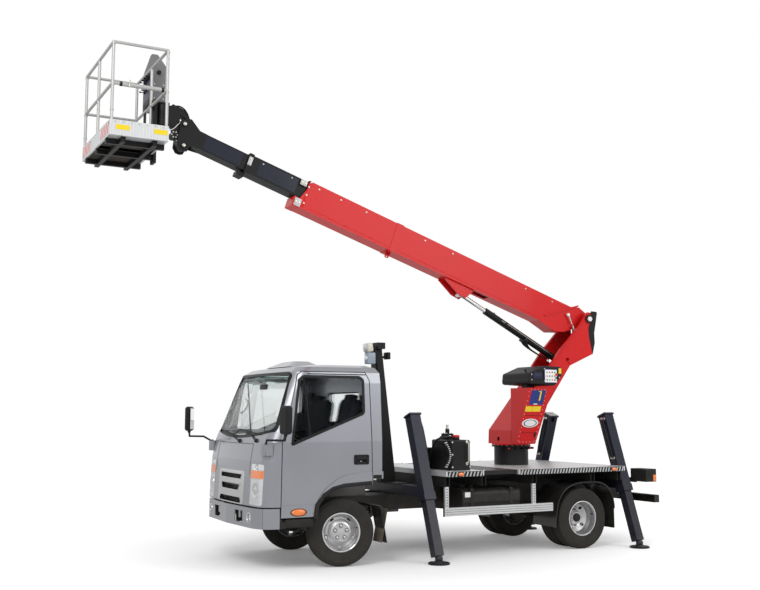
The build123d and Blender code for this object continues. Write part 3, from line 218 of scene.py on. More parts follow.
def makeFinish(name, colour, shade, metal, rough, coat, grainScale, grainBump, dust, c=finishSet):
    mat = bpy.data.materials.new(name)
    mat.use_nodes = True
    tree = mat.node_tree
    shader = tree.nodes["Principled BSDF"]
    shader.inputs["Metallic"].default_value = metal
    shader.inputs["Coat Weight"].default_value = coat
    shine = c["brightShine"] if metal > 0.3 or coat > 0.6 else c["plainShine"]
    shader.inputs["Specular IOR Level"].default_value = shine
    shader.inputs["Coat Roughness"].default_value = c["coatRough"]
    place = addNode(tree, "TexCoord")
    patches = addNode(tree, "TexNoise", inputs={"Scale": c["patches"], "Detail": c["patchDetail"]})
    grain = addNode(tree, "TexNoise", inputs={"Scale": grainScale, "Detail": c["grainDetail"]})
    tone = addNode(tree, "Mix", {"data_type": "RGBA"})
    tone.inputs[mixFirst].default_value = [part * (1 - shade) for part in colour] + [1]
    tone.inputs[mixSecond].default_value = [min(1, part * (1 + shade)) for part in colour] + [1]
    both = addNode(tree, "Math", {"operation": "MULTIPLY_ADD"}, {1: 0.5})
    half = addNode(tree, "Math", {"operation": "MULTIPLY"}, {1: 0.5})
    # dust settles low down and in patches
    height = addNode(tree, "SeparateXYZ")
    low = addNode(tree, "MapRange", inputs={"From Min": c["dustTop"], "From Max": c["dustFoot"]})
    spots = addNode(tree, "TexNoise", inputs={"Scale": c["dustSpots"], "Detail": c["dustDetail"]})
    spread = addNode(tree, "Math", {"operation": "MULTIPLY"})
    amount = addNode(tree, "Math", {"operation": "MULTIPLY", "use_clamp": True}, {1: dust * c["dustShare"]})
    dusty = addNode(tree, "Mix", {"data_type": "RGBA"}, {mixSecond: c["dustColour"]})
    gloss = addNode(tree, "MapRange", inputs={"To Min": rough * 0.85, "To Max": min(1.0, rough * 1.2)})
    bump = addNode(tree, "Bump", inputs={"Strength": grainBump, "Distance": c["grainHeight"]})
    linkNodes(tree, (
        (place.outputs["Object"], patches.inputs["Vector"]),
        (place.outputs["Object"], grain.inputs["Vector"]),
        (place.outputs["Object"], height.inputs[0]), (place.outputs["Object"], spots.inputs["Vector"]),
        (grain.outputs["Fac"], half.inputs[0]), (patches.outputs["Fac"], both.inputs[0]),
        (half.outputs[0], both.inputs[2]), (both.outputs[0], tone.inputs["Factor"]),
        (height.outputs["Z"], low.inputs["Value"]), (low.outputs[0], spread.inputs[0]),
        (spots.outputs["Fac"], spread.inputs[1]), (spread.outputs[0], amount.inputs[0]),
        (amount.outputs[0], dusty.inputs["Factor"]), (tone.outputs[mixResult], dusty.inputs[mixFirst]),
        (dusty.outputs[mixResult], shader.inputs["Base Color"]),
        (patches.outputs["Fac"], gloss.inputs["Value"]),
        (gloss.outputs[0], shader.inputs["Roughness"]), (grain.outputs["Fac"], bump.inputs["Height"]),
        (bump.outputs["Normal"], shader.inputs["Normal"]),
    ))
    return mat


paint = {name: makeFinish(name, *row) for name, row in finishes.items()}

treadSet = {
    "finish": ((0.62, 0.63, 0.64), 0.10, 0.45, 0.36, 0.0, 60, 0.05, 0.12), "turns": (45, -45),
    "strength": 0.8, "height": 0.003,
    "cells": {"Scale": 1.0, "Brick Width": 0.05, "Row Height": 0.025, "Mortar Size": 0.0085,
              "Mortar Smooth": 0.4, "Color1": white, "Color2": white, "Mortar": black},
}


def makeTreadPlate(c):
    # raised lozenges in two crossing directions on aluminium
    mat = makeFinish("treadPlate", *c["finish"])
    tree = mat.node_tree
    shader = tree.nodes["Principled BSDF"]
    place = addNode(tree, "TexCoord")
    both = addNode(tree, "Math", {"operation": "MULTIPLY"})
    for i, turn in enumerate(c["turns"]):
        mapping = addNode(tree, "Mapping", inputs={"Rotation": (0, 0, math.radians(turn))})
        cells = addNode(tree, "TexBrick", inputs=c["cells"])
        linkNodes(tree, (
            (place.outputs["Object"], mapping.inputs["Vector"]),
            (mapping.outputs["Vector"], cells.inputs["Vector"]),
            (cells.outputs["Color"], both.inputs[i]),
        ))
    bump = addNode(tree, "Bump", inputs={"Strength": c["strength"], "Distance": c["height"]})
    linkNodes(tree, (
        (both.outputs[0], bump.inputs["Height"]), (bump.outputs["Normal"], shader.inputs["Normal"]),
    ))
    return mat


paint["treadPlate"] = makeTreadPlate(treadSet)

# Glass: its tone, and the tone of the band at the screen's top
glassSet = {
    "bandFrom": 1.98, "bandTo": 2.18, "rough": 0.03, "bend": 1.05, "alpha": 0.35,
    "screenGlass": ((0.80, 0.88, 0.86, 1), (0.03, 0.30, 0.22, 1)),
    "doorGlass": ((0.55, 0.60, 0.60, 1), (0.45, 0.50, 0.50, 1)),
}


def makeGlass(name, c):
    mat = bpy.data.materials.new(name)
    mat.use_nodes = True
    tree = mat.node_tree
    shader = tree.nodes["Principled BSDF"]
    shader.inputs["Roughness"].default_value = c["rough"]
    shader.inputs["Transmission Weight"].default_value = 1.0
    shader.inputs["IOR"].default_value = c["bend"]
    shader.inputs["Alpha"].default_value = c["alpha"]
    place = addNode(tree, "TexCoord")
    height = addNode(tree, "SeparateXYZ")
    band = addNode(tree, "MapRange", inputs={"From Min": c["bandFrom"], "From Max": c["bandTo"]})
    tone = addNode(tree, "Mix", {"data_type": "RGBA"}, {mixFirst: c[name][0], mixSecond: c[name][1]})
    linkNodes(tree, (
        (place.outputs["Object"], height.inputs[0]), (height.outputs["Z"], band.inputs["Value"]),
        (band.outputs[0], tone.inputs["Factor"]), (tone.outputs[mixResult], shader.inputs["Base Color"]),
    ))
    return mat


for name in ("screenGlass", "doorGlass"):
    paint[name] = makeGlass(name, glassSet)
print("finishes made")

corners = ("front_left", "front_right", "rear_left", "rear_right")
nodesOfFinish = {
    "frameBlack": (
        "chassis_frame", "subframe", "pedestal", "fuel_tank", "tool_box", "oil_tank", "boom_rest",
        "front_axle", "rear_axle", "tail_lamps", "rear_underrun", "knuckle_left", "knuckle_right",
        "boom_mid", "boom_tip", "lift_barrel", "jib", "basket_frame"),
    "legBlueBlack": ("outriggers_front", "outriggers_rear", *("leg_" + corner for corner in corners)),
    "treadPlate": ("deck_plates", "side_guards", "basket_tray"),
    "cabSilver": ("front_bumper", "cab_shell", "front_panel", "door_left", "door_right"),
    "blackPlastic": ("hose_cover", "cab_steps", "control_console", "steering_wheel", "mirrors"),
    "greyPlastic": ("dashboard", "basket_controls"),
    "boomRed": ("turret_column", "valve_box", "boom_base"),
    "doorGlass": ("door_glass_left", "door_glass_right"),
    "engineIron": ("engine_block",), "guardBlack": ("mudguards",), "trimChrome": ("grille",),
    "lampClear": ("headlamps",), "screenGlass": ("cab_glass",), "seatCloth": ("seats",),
    "rodChrome": ("lift_rod",), "greySteel": ("basket_rails",),
    "rimSilver": ["rim_" + corner for corner in corners],
    "tyreRubber": ["tyre_" + corner for corner in corners],
}
for finish, names in nodesOfFinish.items():
    for name in names:
        slots = nodes[name].data.materials
        for i in range(len(slots)):
            slots[i] = paint[finish]
print("CAD nodes finished")

# Directions and places
leftOut = (1, 0, 0)
frontOut = (0, -1, 0)
rearOut = (0, 1, 0)
topOut = (0, 0, 1)
into = rearOut
sideSign = {"left": 1, "right": -1}


def at(x, distance, z):
    # a place: across, behind the front axle, height
    return Vector((x, behind(distance), z))


def route(*points):
    return [at(*point) for point in points]


def frameAt(place, out, up=topOut):
    # a local frame whose z points outwards and whose y points up
    z = Vector(out).normalized()
    if abs(z.z) > 0.999 and up == topOut:
        up = rearOut
    x = Vector(up).cross(z).normalized()
    m = Matrix((x, z.cross(x), z)).transposed().to_4x4()
    m.translation = place
    return m


def facing(x, distance, z, out):
    return frameAt(at(x, distance, z), out)


def shift(m, x, y, z):
    return m @ Matrix.Translation((x, y, z))


def ringPoints(radius, count):
    turns = [math.tau * i / count for i in range(count)]
    return [(radius * math.cos(turn), radius * math.sin(turn)) for turn in turns]


def ringPlaces(m, count, radius, start=90):
    turns = [math.radians(start + 360 * i / count) for i in range(count)]
    return [shift(m, radius * math.cos(turn), radius * math.sin(turn), 0) for turn in turns]


# Shared shapes
def joinInto(bm, part, slotIndex, recalc=True):
    # adds a finished shape to a piece
    if recalc:
        bmesh.ops.recalc_face_normals(part, faces=part.faces[:])
    for face in part.faces:
        face.material_index = slotIndex
    mesh = bpy.data.meshes.new("joined")
    part.to_mesh(mesh)
    part.free()
    bm.from_mesh(mesh)
    bpy.data.meshes.remove(mesh)


def bevelAll(part, width, segments):
    bmesh.ops.bevel(part, geom=part.edges[:], offset=width, affect="EDGES", segments=segments, profile=0.5,
                    material=-1)


def addBlock(bm, m, size, bevel, segments, slotIndex=0):
    part = bmesh.new()
    bmesh.ops.create_cube(part, size=1, matrix=m @ Matrix.Diagonal((size[0], size[1], size[2], 1)))
    if bevel:
        bevelAll(part, bevel, segments)
    joinInto(bm, part, slotIndex)


def spun(m, profile, steps):
    # the profile's radius and height pairs are spun about the frame's z
    part = bmesh.new()
    verts = [part.verts.new((r, 0, h)) for r, h in profile]
    edges = [part.edges.new(pair) for pair in zip(verts, verts[1:])]
    bmesh.ops.spin(part, geom=verts + edges, cent=(0, 0, 0), axis=(0, 0, 1), dvec=(0, 0, 0), angle=math.tau,
                   steps=steps, use_merge=True, use_duplicate=False)
    bmesh.ops.remove_doubles(part, verts=part.verts[:], dist=1e-5)
    bmesh.ops.recalc_face_normals(part, faces=part.faces[:])
    if m.to_3x3().determinant() < 0:
        bmesh.ops.reverse_faces(part, faces=part.faces[:])
    bmesh.ops.transform(part, matrix=m, verts=part.verts[:])
    return part


def addTurned(bm, m, profile, steps, slotIndex):
    joinInto(bm, spun(m, profile, steps), slotIndex, False)


def addOutline(bm, m, outline, depth, bevel, slotIndex):
    # a flat outline in the frame's x and y, drawn out along z
    part = bmesh.new()
    face = part.faces.new([part.verts.new(m @ Vector((x, y, 0))) for x, y in outline])
    drawn = bmesh.ops.extrude_face_region(part, geom=[face])
    fresh = [v for v in drawn["geom"] if isinstance(v, bmesh.types.BMVert)]
    bmesh.ops.translate(part, verts=fresh, vec=m.to_3x3() @ Vector((0, 0, depth)))
    bmesh.ops.recalc_face_normals(part, faces=part.faces[:])
    if bevel:
        bevelAll(part, bevel, 2)
    joinInto(bm, part, slotIndex)


def addCone(part, m, sides, low, high, depth):
    bmesh.ops.create_cone(part, cap_ends=True, segments=sides, radius1=low, radius2=high, depth=depth,
                          matrix=m)


def addRod(bm, start, end, radius, sides, slotIndex):
    part = bmesh.new()
    a = Vector(start)
    b = Vector(end)
    m = Matrix.Translation((a + b) / 2) @ (b - a).to_track_quat("Z", "Y").to_matrix().to_4x4()
    addCone(part, m, sides, radius, radius, (b - a).length)
    joinInto(bm, part, slotIndex)


def addHose(bm, points, radius, slotIndex):
    # a smooth run through the control points, fixed at both ends
    curve = bpy.data.curves.new("hoseRun", "CURVE")
    curve.dimensions = "3D"
    curve.bevel_depth = radius
    curve.bevel_resolution = 2
    curve.resolution_u = 6
    curve.use_fill_caps = True
    run = curve.splines.new("NURBS")
    run.points.add(len(points) - 1)
    for target, point in zip(run.points, points):
        target.co = (*point, 1)
    run.order_u = 3
    run.use_endpoint_u = True
    holder = bpy.data.objects.new("hoseRun", curve)
    made = bpy.data.meshes.new_from_object(holder)
    part = bmesh.new()
    part.from_mesh(made)
    bmesh.ops.remove_doubles(part, verts=part.verts[:], dist=1e-6)
    joinInto(bm, part, slotIndex)
    bpy.data.objects.remove(holder)
    bpy.data.curves.remove(curve)
    bpy.data.meshes.remove(made)


def addBolt(bm, m, radius, height, slotIndex):
    # a hexagon head on a washer
    part = bmesh.new()
    washer = 0.002
    addCone(part, shift(m, 0, 0, washer / 2), 14, radius * 1.5, radius * 1.45, washer)
    addCone(part, shift(m, 0, 0, washer + height / 2), 6, radius, radius * 0.96, height)
    joinInto(bm, part, slotIndex)


def addBolts(bm, places, out, radius, height, slotIndex):
    for place in places:
        addBolt(bm, facing(*place, out), radius, height, slotIndex)


def surfaceOf(*names):
    joined = bmesh.new()
    for name in names:
        joined.from_mesh(nodes[name].data)
    tree = BVHTree.FromBMesh(joined)
    joined.free()
    return tree


def layOn(verts, surfaces, direction):
    # drops each point onto the first surface below it, then lifts it back a little
    way = Vector(direction).normalized()
    for v in verts:
        for tree, lift in surfaces:
            hit = tree.ray_cast(v.co - way * 2, way)
            if hit[0] is not None:
                v.co = hit[0] - way * lift
                break


def thicken(bm, part, direction, thick, slotIndex):
    bmesh.ops.recalc_face_normals(part, faces=part.faces[:])
    if sum(face.normal.dot(Vector(direction)) for face in part.faces) > 0:
        bmesh.ops.reverse_faces(part, faces=part.faces[:])
    bmesh.ops.solidify(part, geom=part.faces[:], thickness=thick)
    joinInto(bm, part, slotIndex)


def addBand(bm, ring, width, thick, direction, surfaces=None, bend=None):
    # a closed band inside a ring of points, laid on a surface or bent to a shape
    part = bmesh.new()
    face = part.faces.new([part.verts.new(p) for p in ring])
    face.normal_update()
    bmesh.ops.inset_region(part, faces=[face], thickness=width, use_even_offset=True, use_boundary=True)
    bmesh.ops.delete(part, geom=[face], context="FACES_KEEP_BOUNDARY")
    if surfaces:
        layOn(part.verts, surfaces, direction)
    if bend:
        for v in part.verts:
            v.co = bend(v.co)
    thicken(bm, part, direction, thick, 0)


def done(name, bm, finishNames, body, sharp=35):
    mesh = bpy.data.meshes.new(name)
    bm.to_mesh(mesh)
    bm.free()
    for finishName in finishNames:
        mesh.materials.append(paint[finishName])
    mesh.polygons.foreach_set("use_smooth", [True] * len(mesh.polygons))
    mesh.set_sharp_from_angle(angle=math.radians(sharp))
    obj = bpy.data.objects.new(name, mesh)
    bpy.context.scene.collection.objects.link(obj)
    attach(obj, body)
    return obj


# Tyres and wheels
tyreSet = {
    # half of the section, from the rim to the tread's middle: radius, offset
    "half": [
        (0.222, 0.080), (0.230, 0.086), (0.234, 0.0905), (0.240, 0.0910), (0.242, 0.0895), (0.262, 0.0950),
        (0.300, 0.0965), (0.326, 0.0955), (0.329, 0.0970), (0.334, 0.0970), (0.337, 0.0950), (0.352, 0.0905),
        (0.366, 0.0850), (0.377, 0.0770), (0.3815, 0.0670), (0.3835, 0.0505), (0.3755, 0.0485),
        (0.3755, 0.0435), (0.3840, 0.0415), (0.3845, 0.0215), (0.3760, 0.0195), (0.3760, 0.0145),
        (0.3848, 0.0125)],
    "steps": 90, "sipe": 0.006, "shoulder": 0.0505, "tread": 0.378,
}
wheelSet = {
    "steer": -13, "axle": 0.385, "frontOut": 0.785, "kingpin": 0.65, "rearOuter": 0.86, "rearInner": 0.62,
    "wheelbase": 3.365,
    "body": {"front_left": "wheel_front_left", "front_right": "wheel_front_right",
             "rear_left": "wheels_rear_left", "rear_right": "wheels_rear_right"},
}


def wheelFrame(corner, c):
    end, side = corner.split("_")
    s = sideSign[side]
    if end == "rear":
        return facing(s * c["rearOuter"], c["wheelbase"], c["axle"], (s, 0, 0))
    turn = math.radians(c["steer"])
    out = Vector((math.cos(turn), math.sin(turn), 0)) * s
    return frameAt(at(s * c["kingpin"], 0, c["axle"]) + out * (c["frontOut"] - c["kingpin"]), out)


def addTyre(bm, m, c):
    half = c["half"]
    part = spun(Matrix.Identity(4), half + [(r, -h) for r, h in reversed(half)] + [half[0]], c["steps"])
    shoulders = []
    for face in part.faces:
        p = face.calc_center_median()
        sector = int(math.degrees(math.atan2(p.y, p.x)) % 360 // (360 / c["steps"]))
        if abs(p.z) > c["shoulder"] and math.hypot(p.x, p.y) > c["tread"] and sector % 2 == 0:
            shoulders.append(face)
    bmesh.ops.inset_individual(part, faces=shoulders, thickness=c["sipe"], depth=-c["sipe"],
                               use_even_offset=True)
    bmesh.ops.transform(part, matrix=m, verts=part.verts[:])
    joinInto(bm, part, 0, False)


for corner, body in wheelSet["body"].items():
    bm = bmesh.new()
    m = wheelFrame(corner, wheelSet)
    addTyre(bm, m, tyreSet)
    if corner.startswith("rear"):
        addTyre(bm, shift(m, 0, 0, wheelSet["rearInner"] - wheelSet["rearOuter"]), tyreSet)
    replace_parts(done("tyres_" + corner, bm, ["tyreRubber"], body, sharp=25), "tyre_" + corner)

rimSet = {
    "lip": [(0.203, 0.070), (0.207, 0.083), (0.213, 0.0875), (0.221, 0.0855), (0.224, 0.081), (0.219, 0.079),
            (0.210, 0.079), (0.203, 0.070)],
    "nutRing": 0.072, "nuts": 5, "cap": [
        (0.0, 0.0915), (0.008, 0.0905), (0.0125, 0.087), (0.0145, 0.078), (0.0150, 0.060), (0.0175, 0.0595),
        (0.0185, 0.0570)],
    "capFoot": [(0.0185, 0.0566), (0.0186, 0.0585), (0.0235, 0.0583), (0.0240, 0.0566)],
    "centre": [(0.0, 0.0620), (0.030, 0.0615), (0.038, 0.0595), (0.040, 0.0570)],
    "step": [(0.092, 0.0560), (0.094, 0.0598), (0.098, 0.0600), (0.101, 0.0560)],
    "rearHub": [(0.0, -0.018), (0.040, -0.020), (0.052, -0.026), (0.056, -0.040), (0.062, -0.044),
                (0.074, -0.052), (0.076, -0.080), (0.088, -0.090)],
    "hubRing": 0.040, "hubBolts": 8, "studRing": 0.1095,
    "valve": ((0.185, 0.04, 0.01), (0.196, 0.043, 0.052)),
}
for corner, body in wheelSet["body"].items():
    bm = bmesh.new()
    m = wheelFrame(corner, wheelSet)
    addTurned(bm, m, rimSet["lip"], 72, 1)
    if corner.startswith("front"):
        for place in ringPlaces(m, rimSet["nuts"], rimSet["nutRing"]):
            addTurned(bm, place, rimSet["cap"], 20, 1)
            addTurned(bm, place, rimSet["capFoot"], 20, 2)
        addTurned(bm, m, rimSet["centre"], 32, 0)
        addTurned(bm, m, rimSet["step"], 60, 1)
    else:
        addTurned(bm, m, rimSet["rearHub"], 36, 2)
        for place in ringPlaces(m, rimSet["hubBolts"], rimSet["hubRing"], 20):
            addBolt(bm, shift(place, 0, 0, -0.0215), 0.006, 0.005, 2)
        for place in ringPlaces(m, rimSet["nuts"], rimSet["studRing"], 70):
            addBolt(bm, shift(place, 0, 0, -0.106), 0.0145, 0.020, 3)
    start, end = rimSet["valve"]
    addRod(bm, m @ Vector(start), m @ Vector(end), 0.0045, 10, 2)
    finish = ["rimSilver", "trimChrome", "blackPlastic", "greySteel"]
    done("wheelTrim_" + corner, bm, finish, body, sharp=30)
print("tyres and wheels made")

# Cab front: the screen's border with its wipers
cabSkin = surfaceOf("cab_shell", "front_panel", "headlamps", "grille", "door_left", "door_right")
glassSkin = surfaceOf("cab_glass")
wayIn = Vector(into)
screenSet = {
    "side": [(0.885, 1.525), (0.895, 1.590), (0.872, 1.760), (0.850, 1.890), (0.815, 2.110)],
    "corner": [(0.800, 2.165), (0.770, 2.195), (0.730, 2.205)], "top": 2.205,
    "topRow": (0.5, 0.25, 0, -0.25, -0.5),
    "half": 0.885, "foot": 1.525, "bottom": 1.445, "bottomParts": 16, "border": 0.034, "thick": 0.006,
}
# Wipers: pivot and the blade's two ends, across and up
wiperSet = {
    "wipers": (((0.16, 1.415), (-0.70, 1.535), (-0.02, 1.475)),
               ((0.62, 1.425), (0.02, 1.545), (0.66, 1.500))),
    "lift": 0.020, "arm": 0.008, "blade": 0.0075, "rubber": 0.005, "rubberDrop": Vector((0, 0.009, -0.006)),
    "cap": [(0.0, 0.034), (0.014, 0.030), (0.020, 0.018), (0.026, 0.0)],
}


def beforeCab(x, z):
    # a point well ahead of the cab, from which a ray finds its front
    return Vector((x, -3, z))


def screenRing(c):
    # the windscreen's outline as seen from the front
    right = c["side"] + c["corner"]
    points = right + [(x, c["top"]) for x in c["topRow"]] + [(-x, z) for x, z in reversed(right)]
    for i in range(1, c["bottomParts"]):
        x = -c["half"] + 2 * c["half"] * i / c["bottomParts"]
        points.append((x, c["bottom"] + (c["foot"] - c["bottom"]) * (x / c["half"]) ** 2))
    return [beforeCab(x, z) for x, z in points]


def addWiper(bm, pivot, start, end, c):
    middle = ((start[0] + end[0]) / 2, (start[1] + end[1]) / 2)
    a, b, d, e = [beforeCab(*place) for place in (pivot, start, end, middle)]
    for p in (a, b, d, e):
        hit = glassSkin.ray_cast(p, wayIn)
        if hit[0] is None:
            hit = cabSkin.ray_cast(p, wayIn)
        p.y = hit[0].y - c["lift"]
    addRod(bm, a, e, c["arm"], 10, 1)
    addRod(bm, b, d, c["blade"], 8, 1)
    addRod(bm, b + c["rubberDrop"], d + c["rubberDrop"], c["rubber"], 8, 1)
    addTurned(bm, frameAt(a + wayIn * c["lift"], frontOut), c["cap"], 20, 1)


bm = bmesh.new()
screenSurfaces = ((glassSkin, 0.009), (cabSkin, 0.001))
addBand(bm, screenRing(screenSet), screenSet["border"], screenSet["thick"], into, screenSurfaces)
for pivot, start, end in wiperSet["wipers"]:
    addWiper(bm, pivot, start, end, wiperSet)
done("windscreenBorder", bm, ["blackRubber", "blackPlastic"], "cab")


def addFrontSheet(bm, x, z, size, cells, lift, thick, slotIndex=0):
    # a thin sheet that follows the cab's front
    part = bmesh.new()
    m = frameAt(beforeCab(x, z), frontOut) @ Matrix.Diagonal((*size, 1, 1))
    bmesh.ops.create_grid(part, x_segments=cells[0], y_segments=cells[1], size=0.5, matrix=m)
    layOn(part.verts, ((cabSkin, lift),), into)
    thicken(bm, part, into, thick, slotIndex)


# Headlamps: an orange band, clear lens above and below it, bright edges, bowls and flutes
headlampSet = {
    "inner": 0.606, "outer": 0.866, "gap": 0.004, "bandLow": 1.014, "bandHigh": 1.100,
    "lenses": ((1.1335, 0.060, 3), (0.868, 0.284, 8)), "edges": (1.007, 1.107, 0.880), "edgeHigh": 0.007,
    "bowls": ((0.735, 0.885, 0.088), (0.735, 1.130, 0.040)), "bowlLift": 0.0045,
    # a bowl's section: share of its radius, height
    "bowl": ((0.0, 0.004), (0.25, 0.0035), (0.30, 0.0), (0.62, -0.001), (0.92, 0.001), (0.96, 0.004),
             (1, 0.0035), (1.02, -0.001)),
    "flutes": 9, "fluteFrom": 0.024, "flutePitch": 0.026, "fluteZ": 0.80, "flute": (0.006, 0.085, 0.006),
}


def addHeadlamp(bm, s, c):
    middle = s * (c["inner"] + c["outer"]) / 2
    wide = c["outer"] - c["inner"] - c["gap"]
    low, high = c["bandLow"], c["bandHigh"]
    addFrontSheet(bm, middle, (low + high) / 2, (wide, high - low), (14, 3), 0.0045, 0.004, 0)
    for z, tall, rows in c["lenses"]:
        addFrontSheet(bm, middle, z, (wide, tall), (14, rows), 0.0035, 0.003, 1)
    for z in c["edges"]:
        addFrontSheet(bm, middle, z, (wide, c["edgeHigh"]), (14, 1), 0.006, 0.004, 2)
    for x, z, r in c["bowls"]:
        hit = cabSkin.ray_cast(beforeCab(s * x, z), wayIn)
        m = frameAt(hit[0] - wayIn * c["bowlLift"], hit[1])
        addTurned(bm, m, [(r * share, h) for share, h in c["bowl"]], 36, 2)
    for i in range(c["flutes"]):
        x = c["inner"] + c["fluteFrom"] + c["flutePitch"] * i
        hit = cabSkin.ray_cast(beforeCab(s * x, c["fluteZ"]), wayIn)
        addBlock(bm, frameAt(hit[0] - wayIn * 0.003, hit[1]), c["flute"], 0.002, 1, 2)


for side, s in sideSign.items():
    bm = bmesh.new()
    addHeadlamp(bm, s, headlampSet)
    done("lampLens_" + side, bm, ["lensOrange", "lampClear", "trimChrome"], "cab")

# Front panel: its seams, the dark slats behind the grille's slots, and black sheets behind them as painted shade for
# the space inside
frontSet = {
    "seams": (-0.560, 0.560), "seamLow": 1.045, "seamHigh": 1.385, "seam": 0.006, "seamRow": 1.126,
    "slats": (0.730, 0.748, 0.766, 0.872, 0.892, 0.912, 1.000, 1.016, 1.032), "slatFrom": -0.352,
    "slatPitch": 0.064, "slatD": -1.048, "slat": (0.0655, 0.006, 0.022), "grilleShadeD": -1.006, "grilleShadeZ": 0.885,
    "room": (0.104, 0.350, 0.006), "bow": 0.12, "turn": 0.25,
}


def addBowed(bm, x, d, z, size, c):
    # one block of a row that follows the front panel's bow
    addBlock(bm, facing(x, d + c["bow"] * x * x, z, (x * c["turn"], -1, 0)), size, 0.002, 1)


bm = bmesh.new()
low, high, seam = frontSet["seamLow"], frontSet["seamHigh"], frontSet["seam"]
for x in frontSet["seams"]:
    addFrontSheet(bm, x, (low + high) / 2, (seam, high - low), (1, 10), 0.0015, 0.0012)
addFrontSheet(bm, 0, high + seam / 2, (frontSet["seamRow"], seam), (24, 1), 0.0015, 0.0012)
for z in frontSet["slats"]:
    for i in range(12):
        x = frontSet["slatFrom"] + frontSet["slatPitch"] * i
        addBowed(bm, x, frontSet["slatD"], z, frontSet["slat"], frontSet)
# black sheets across the back of the grille: painted shade for the dark space behind the slots
for i in range(8):
    addBowed(bm, -0.35 + 0.1 * i, frontSet["grilleShadeD"], frontSet["grilleShadeZ"], frontSet["room"], frontSet)
done("frontSeamsAndSlats", bm, ["blackPlastic"], "cab")

# Grille: a bright lip round each slot; slots by height, lower width, upper width and opening
grilleSet = {
    "slots": ((1.014, 0.640, 0.700, 0.052), (0.892, 0.520, 0.620, 0.066)), "margin": 0.014,
    "cut": (0.015, 0.012), "lip": 0.013, "thick": 0.005, "front": -1.0835, "rake": 0.055, "rakeZ": 0.989, "bow": 0.10,
}


def onGrille(p):
    front = grilleSet["front"] - grilleSet["rake"] * (grilleSet["rakeZ"] - p.z) + grilleSet["bow"] * p.x * p.x
    return Vector((p.x, behind(front), p.z))


def slotRing(height, lowWide, highWide, opening, c):
    w0, w1, h = lowWide / 2 + c["margin"], highWide / 2 + c["margin"], opening / 2 + c["margin"]
    cx, cz = c["cut"]
    corner = [(-w0 + cx, -h), (w0 - cx, -h), (w0, -h + cz), (w1, h - cz), (w1 - cx, h), (-w1 + cx, h),
              (-w1, h - cz), (-w0, -h + cz)]
    ring = []
    for i, (x, z) in enumerate(corner):
        nextX, nextZ = corner[(i + 1) % len(corner)]
        parts = 12 if abs(nextX - x) > 0.2 else 1
        for k in range(parts):
            ring.append(beforeCab(x + (nextX - x) * k / parts, height + z + (nextZ - z) * k / parts))
    return ring


bm = bmesh.new()
for row in grilleSet["slots"]:
    addBand(bm, slotRing(*row, grilleSet), grilleSet["lip"], grilleSet["thick"], into, None, onGrille)
done("grilleLips", bm, ["trimChrome"], "cab")

# Bumper: lamps, the tow openings' edges with black walls inside them as painted shade, corner seams, and the steps
# under the doors
bumperSet = {
    "lampX": 0.64, "z": 0.58, "lampD": -1.088,
    "lens": [(0.0, -0.012), (0.030, -0.014), (0.041, -0.020), (0.044, -0.024)],
    "bezel": [(0.044, -0.028), (0.045, 0.002), (0.049, 0.006), (0.055, 0.004), (0.057, -0.002),
              (0.052, -0.004), (0.050, -0.028), (0.044, -0.028)],
    "towX": 0.36, "towEdgeD": -1.104, "towEdgeRise": 0.0655, "towEdge": (0.222, 0.006, 0.012),
    "towBackD": -1.034, "towShadeBack": (0.262, 0.150, 0.006), "towSide": 0.118, "towSideD": -1.062,
    "towShadeWall": (0.056, 0.150, 0.006), "seamX": 0.885, "seamD": -1.020, "seam": (0.004, 0.215, 0.004),
    "stepX": 0.865, "stepD": -0.60, "stepZ": 0.522, "step": (0.336, 0.089, 0.136), "ribs": 7, "ribX": 0.812,
    "ribPitch": 0.018, "ribZ": 0.5675, "rib": (0.007, 0.30, 0.006),
}


def addBumperSide(bm, s, c):
    m = facing(s * c["lampX"], c["lampD"], c["z"], (s * 0.06, -1, 0))
    addTurned(bm, m, c["lens"], 36, 0)
    addTurned(bm, m, c["bezel"], 40, 1)
    for rise in (c["towEdgeRise"], -c["towEdgeRise"]):
        addBlock(bm, facing(s * c["towX"], c["towEdgeD"], c["z"] + rise, (s * 0.05, -1, 0)), c["towEdge"],
                 0.0025, 2, 2)
    addBlock(bm, facing(s * c["stepX"], c["stepD"], c["stepZ"], (s, 0, 0)), c["step"], 0.006, 2, 3)
    for i in range(c["ribs"]):
        place = at(s * (c["ribX"] + c["ribPitch"] * i), c["stepD"], c["ribZ"])
        addBlock(bm, frameAt(place, topOut, frontOut), c["rib"], 0.002, 1, 3)
    # black back and side walls inside each tow opening: painted shade
    addBlock(bm, facing(s * c["towX"], c["towBackD"], c["z"], frontOut), c["towShadeBack"], 0.002, 1, 3)
    for across in (-c["towSide"], c["towSide"]):
        addBlock(bm, facing(s * c["towX"] + across, c["towSideD"], c["z"], leftOut), c["towShadeWall"], 0.002,
                 1, 3)
    addBlock(bm, facing(s * c["seamX"], c["seamD"], c["z"], (s * 0.62, -0.78, 0)), c["seam"], 0.001, 1, 3)


bm = bmesh.new()
for s in (1, -1):
    addBumperSide(bm, s, bumperSet)
done("bumperDetails", bm, ["lampClear", "trimChrome", "cabSilver", "blackPlastic"], "chassis")

# Mirrors: glass, ball joints, silver fairings; heads by side, distance and turn
mirrorSet = {
    "heads": ((1, -0.900, 12), (-1, -1.200, -38)), "z": 1.66, "x": 1.23, "back": 0.0375,
    "glass": (0.128, 0.262, 0.008), "frame": (0.140, 0.274, 0.008), "jointZ": 1.500, "footX": 0.905,
    "footD": -0.998, "footZ": 1.388, "fairingTop": 1.3902, "skin": 0.0016,
    "joint": [(0.012, -0.02), (0.019, -0.012), (0.021, 0.004), (0.017, 0.014), (0.010, 0.018)],
    "foot": [(0.0, 0.016), (0.012, 0.014), (0.020, 0.006), (0.024, -0.004), (0.030, -0.008)],
}


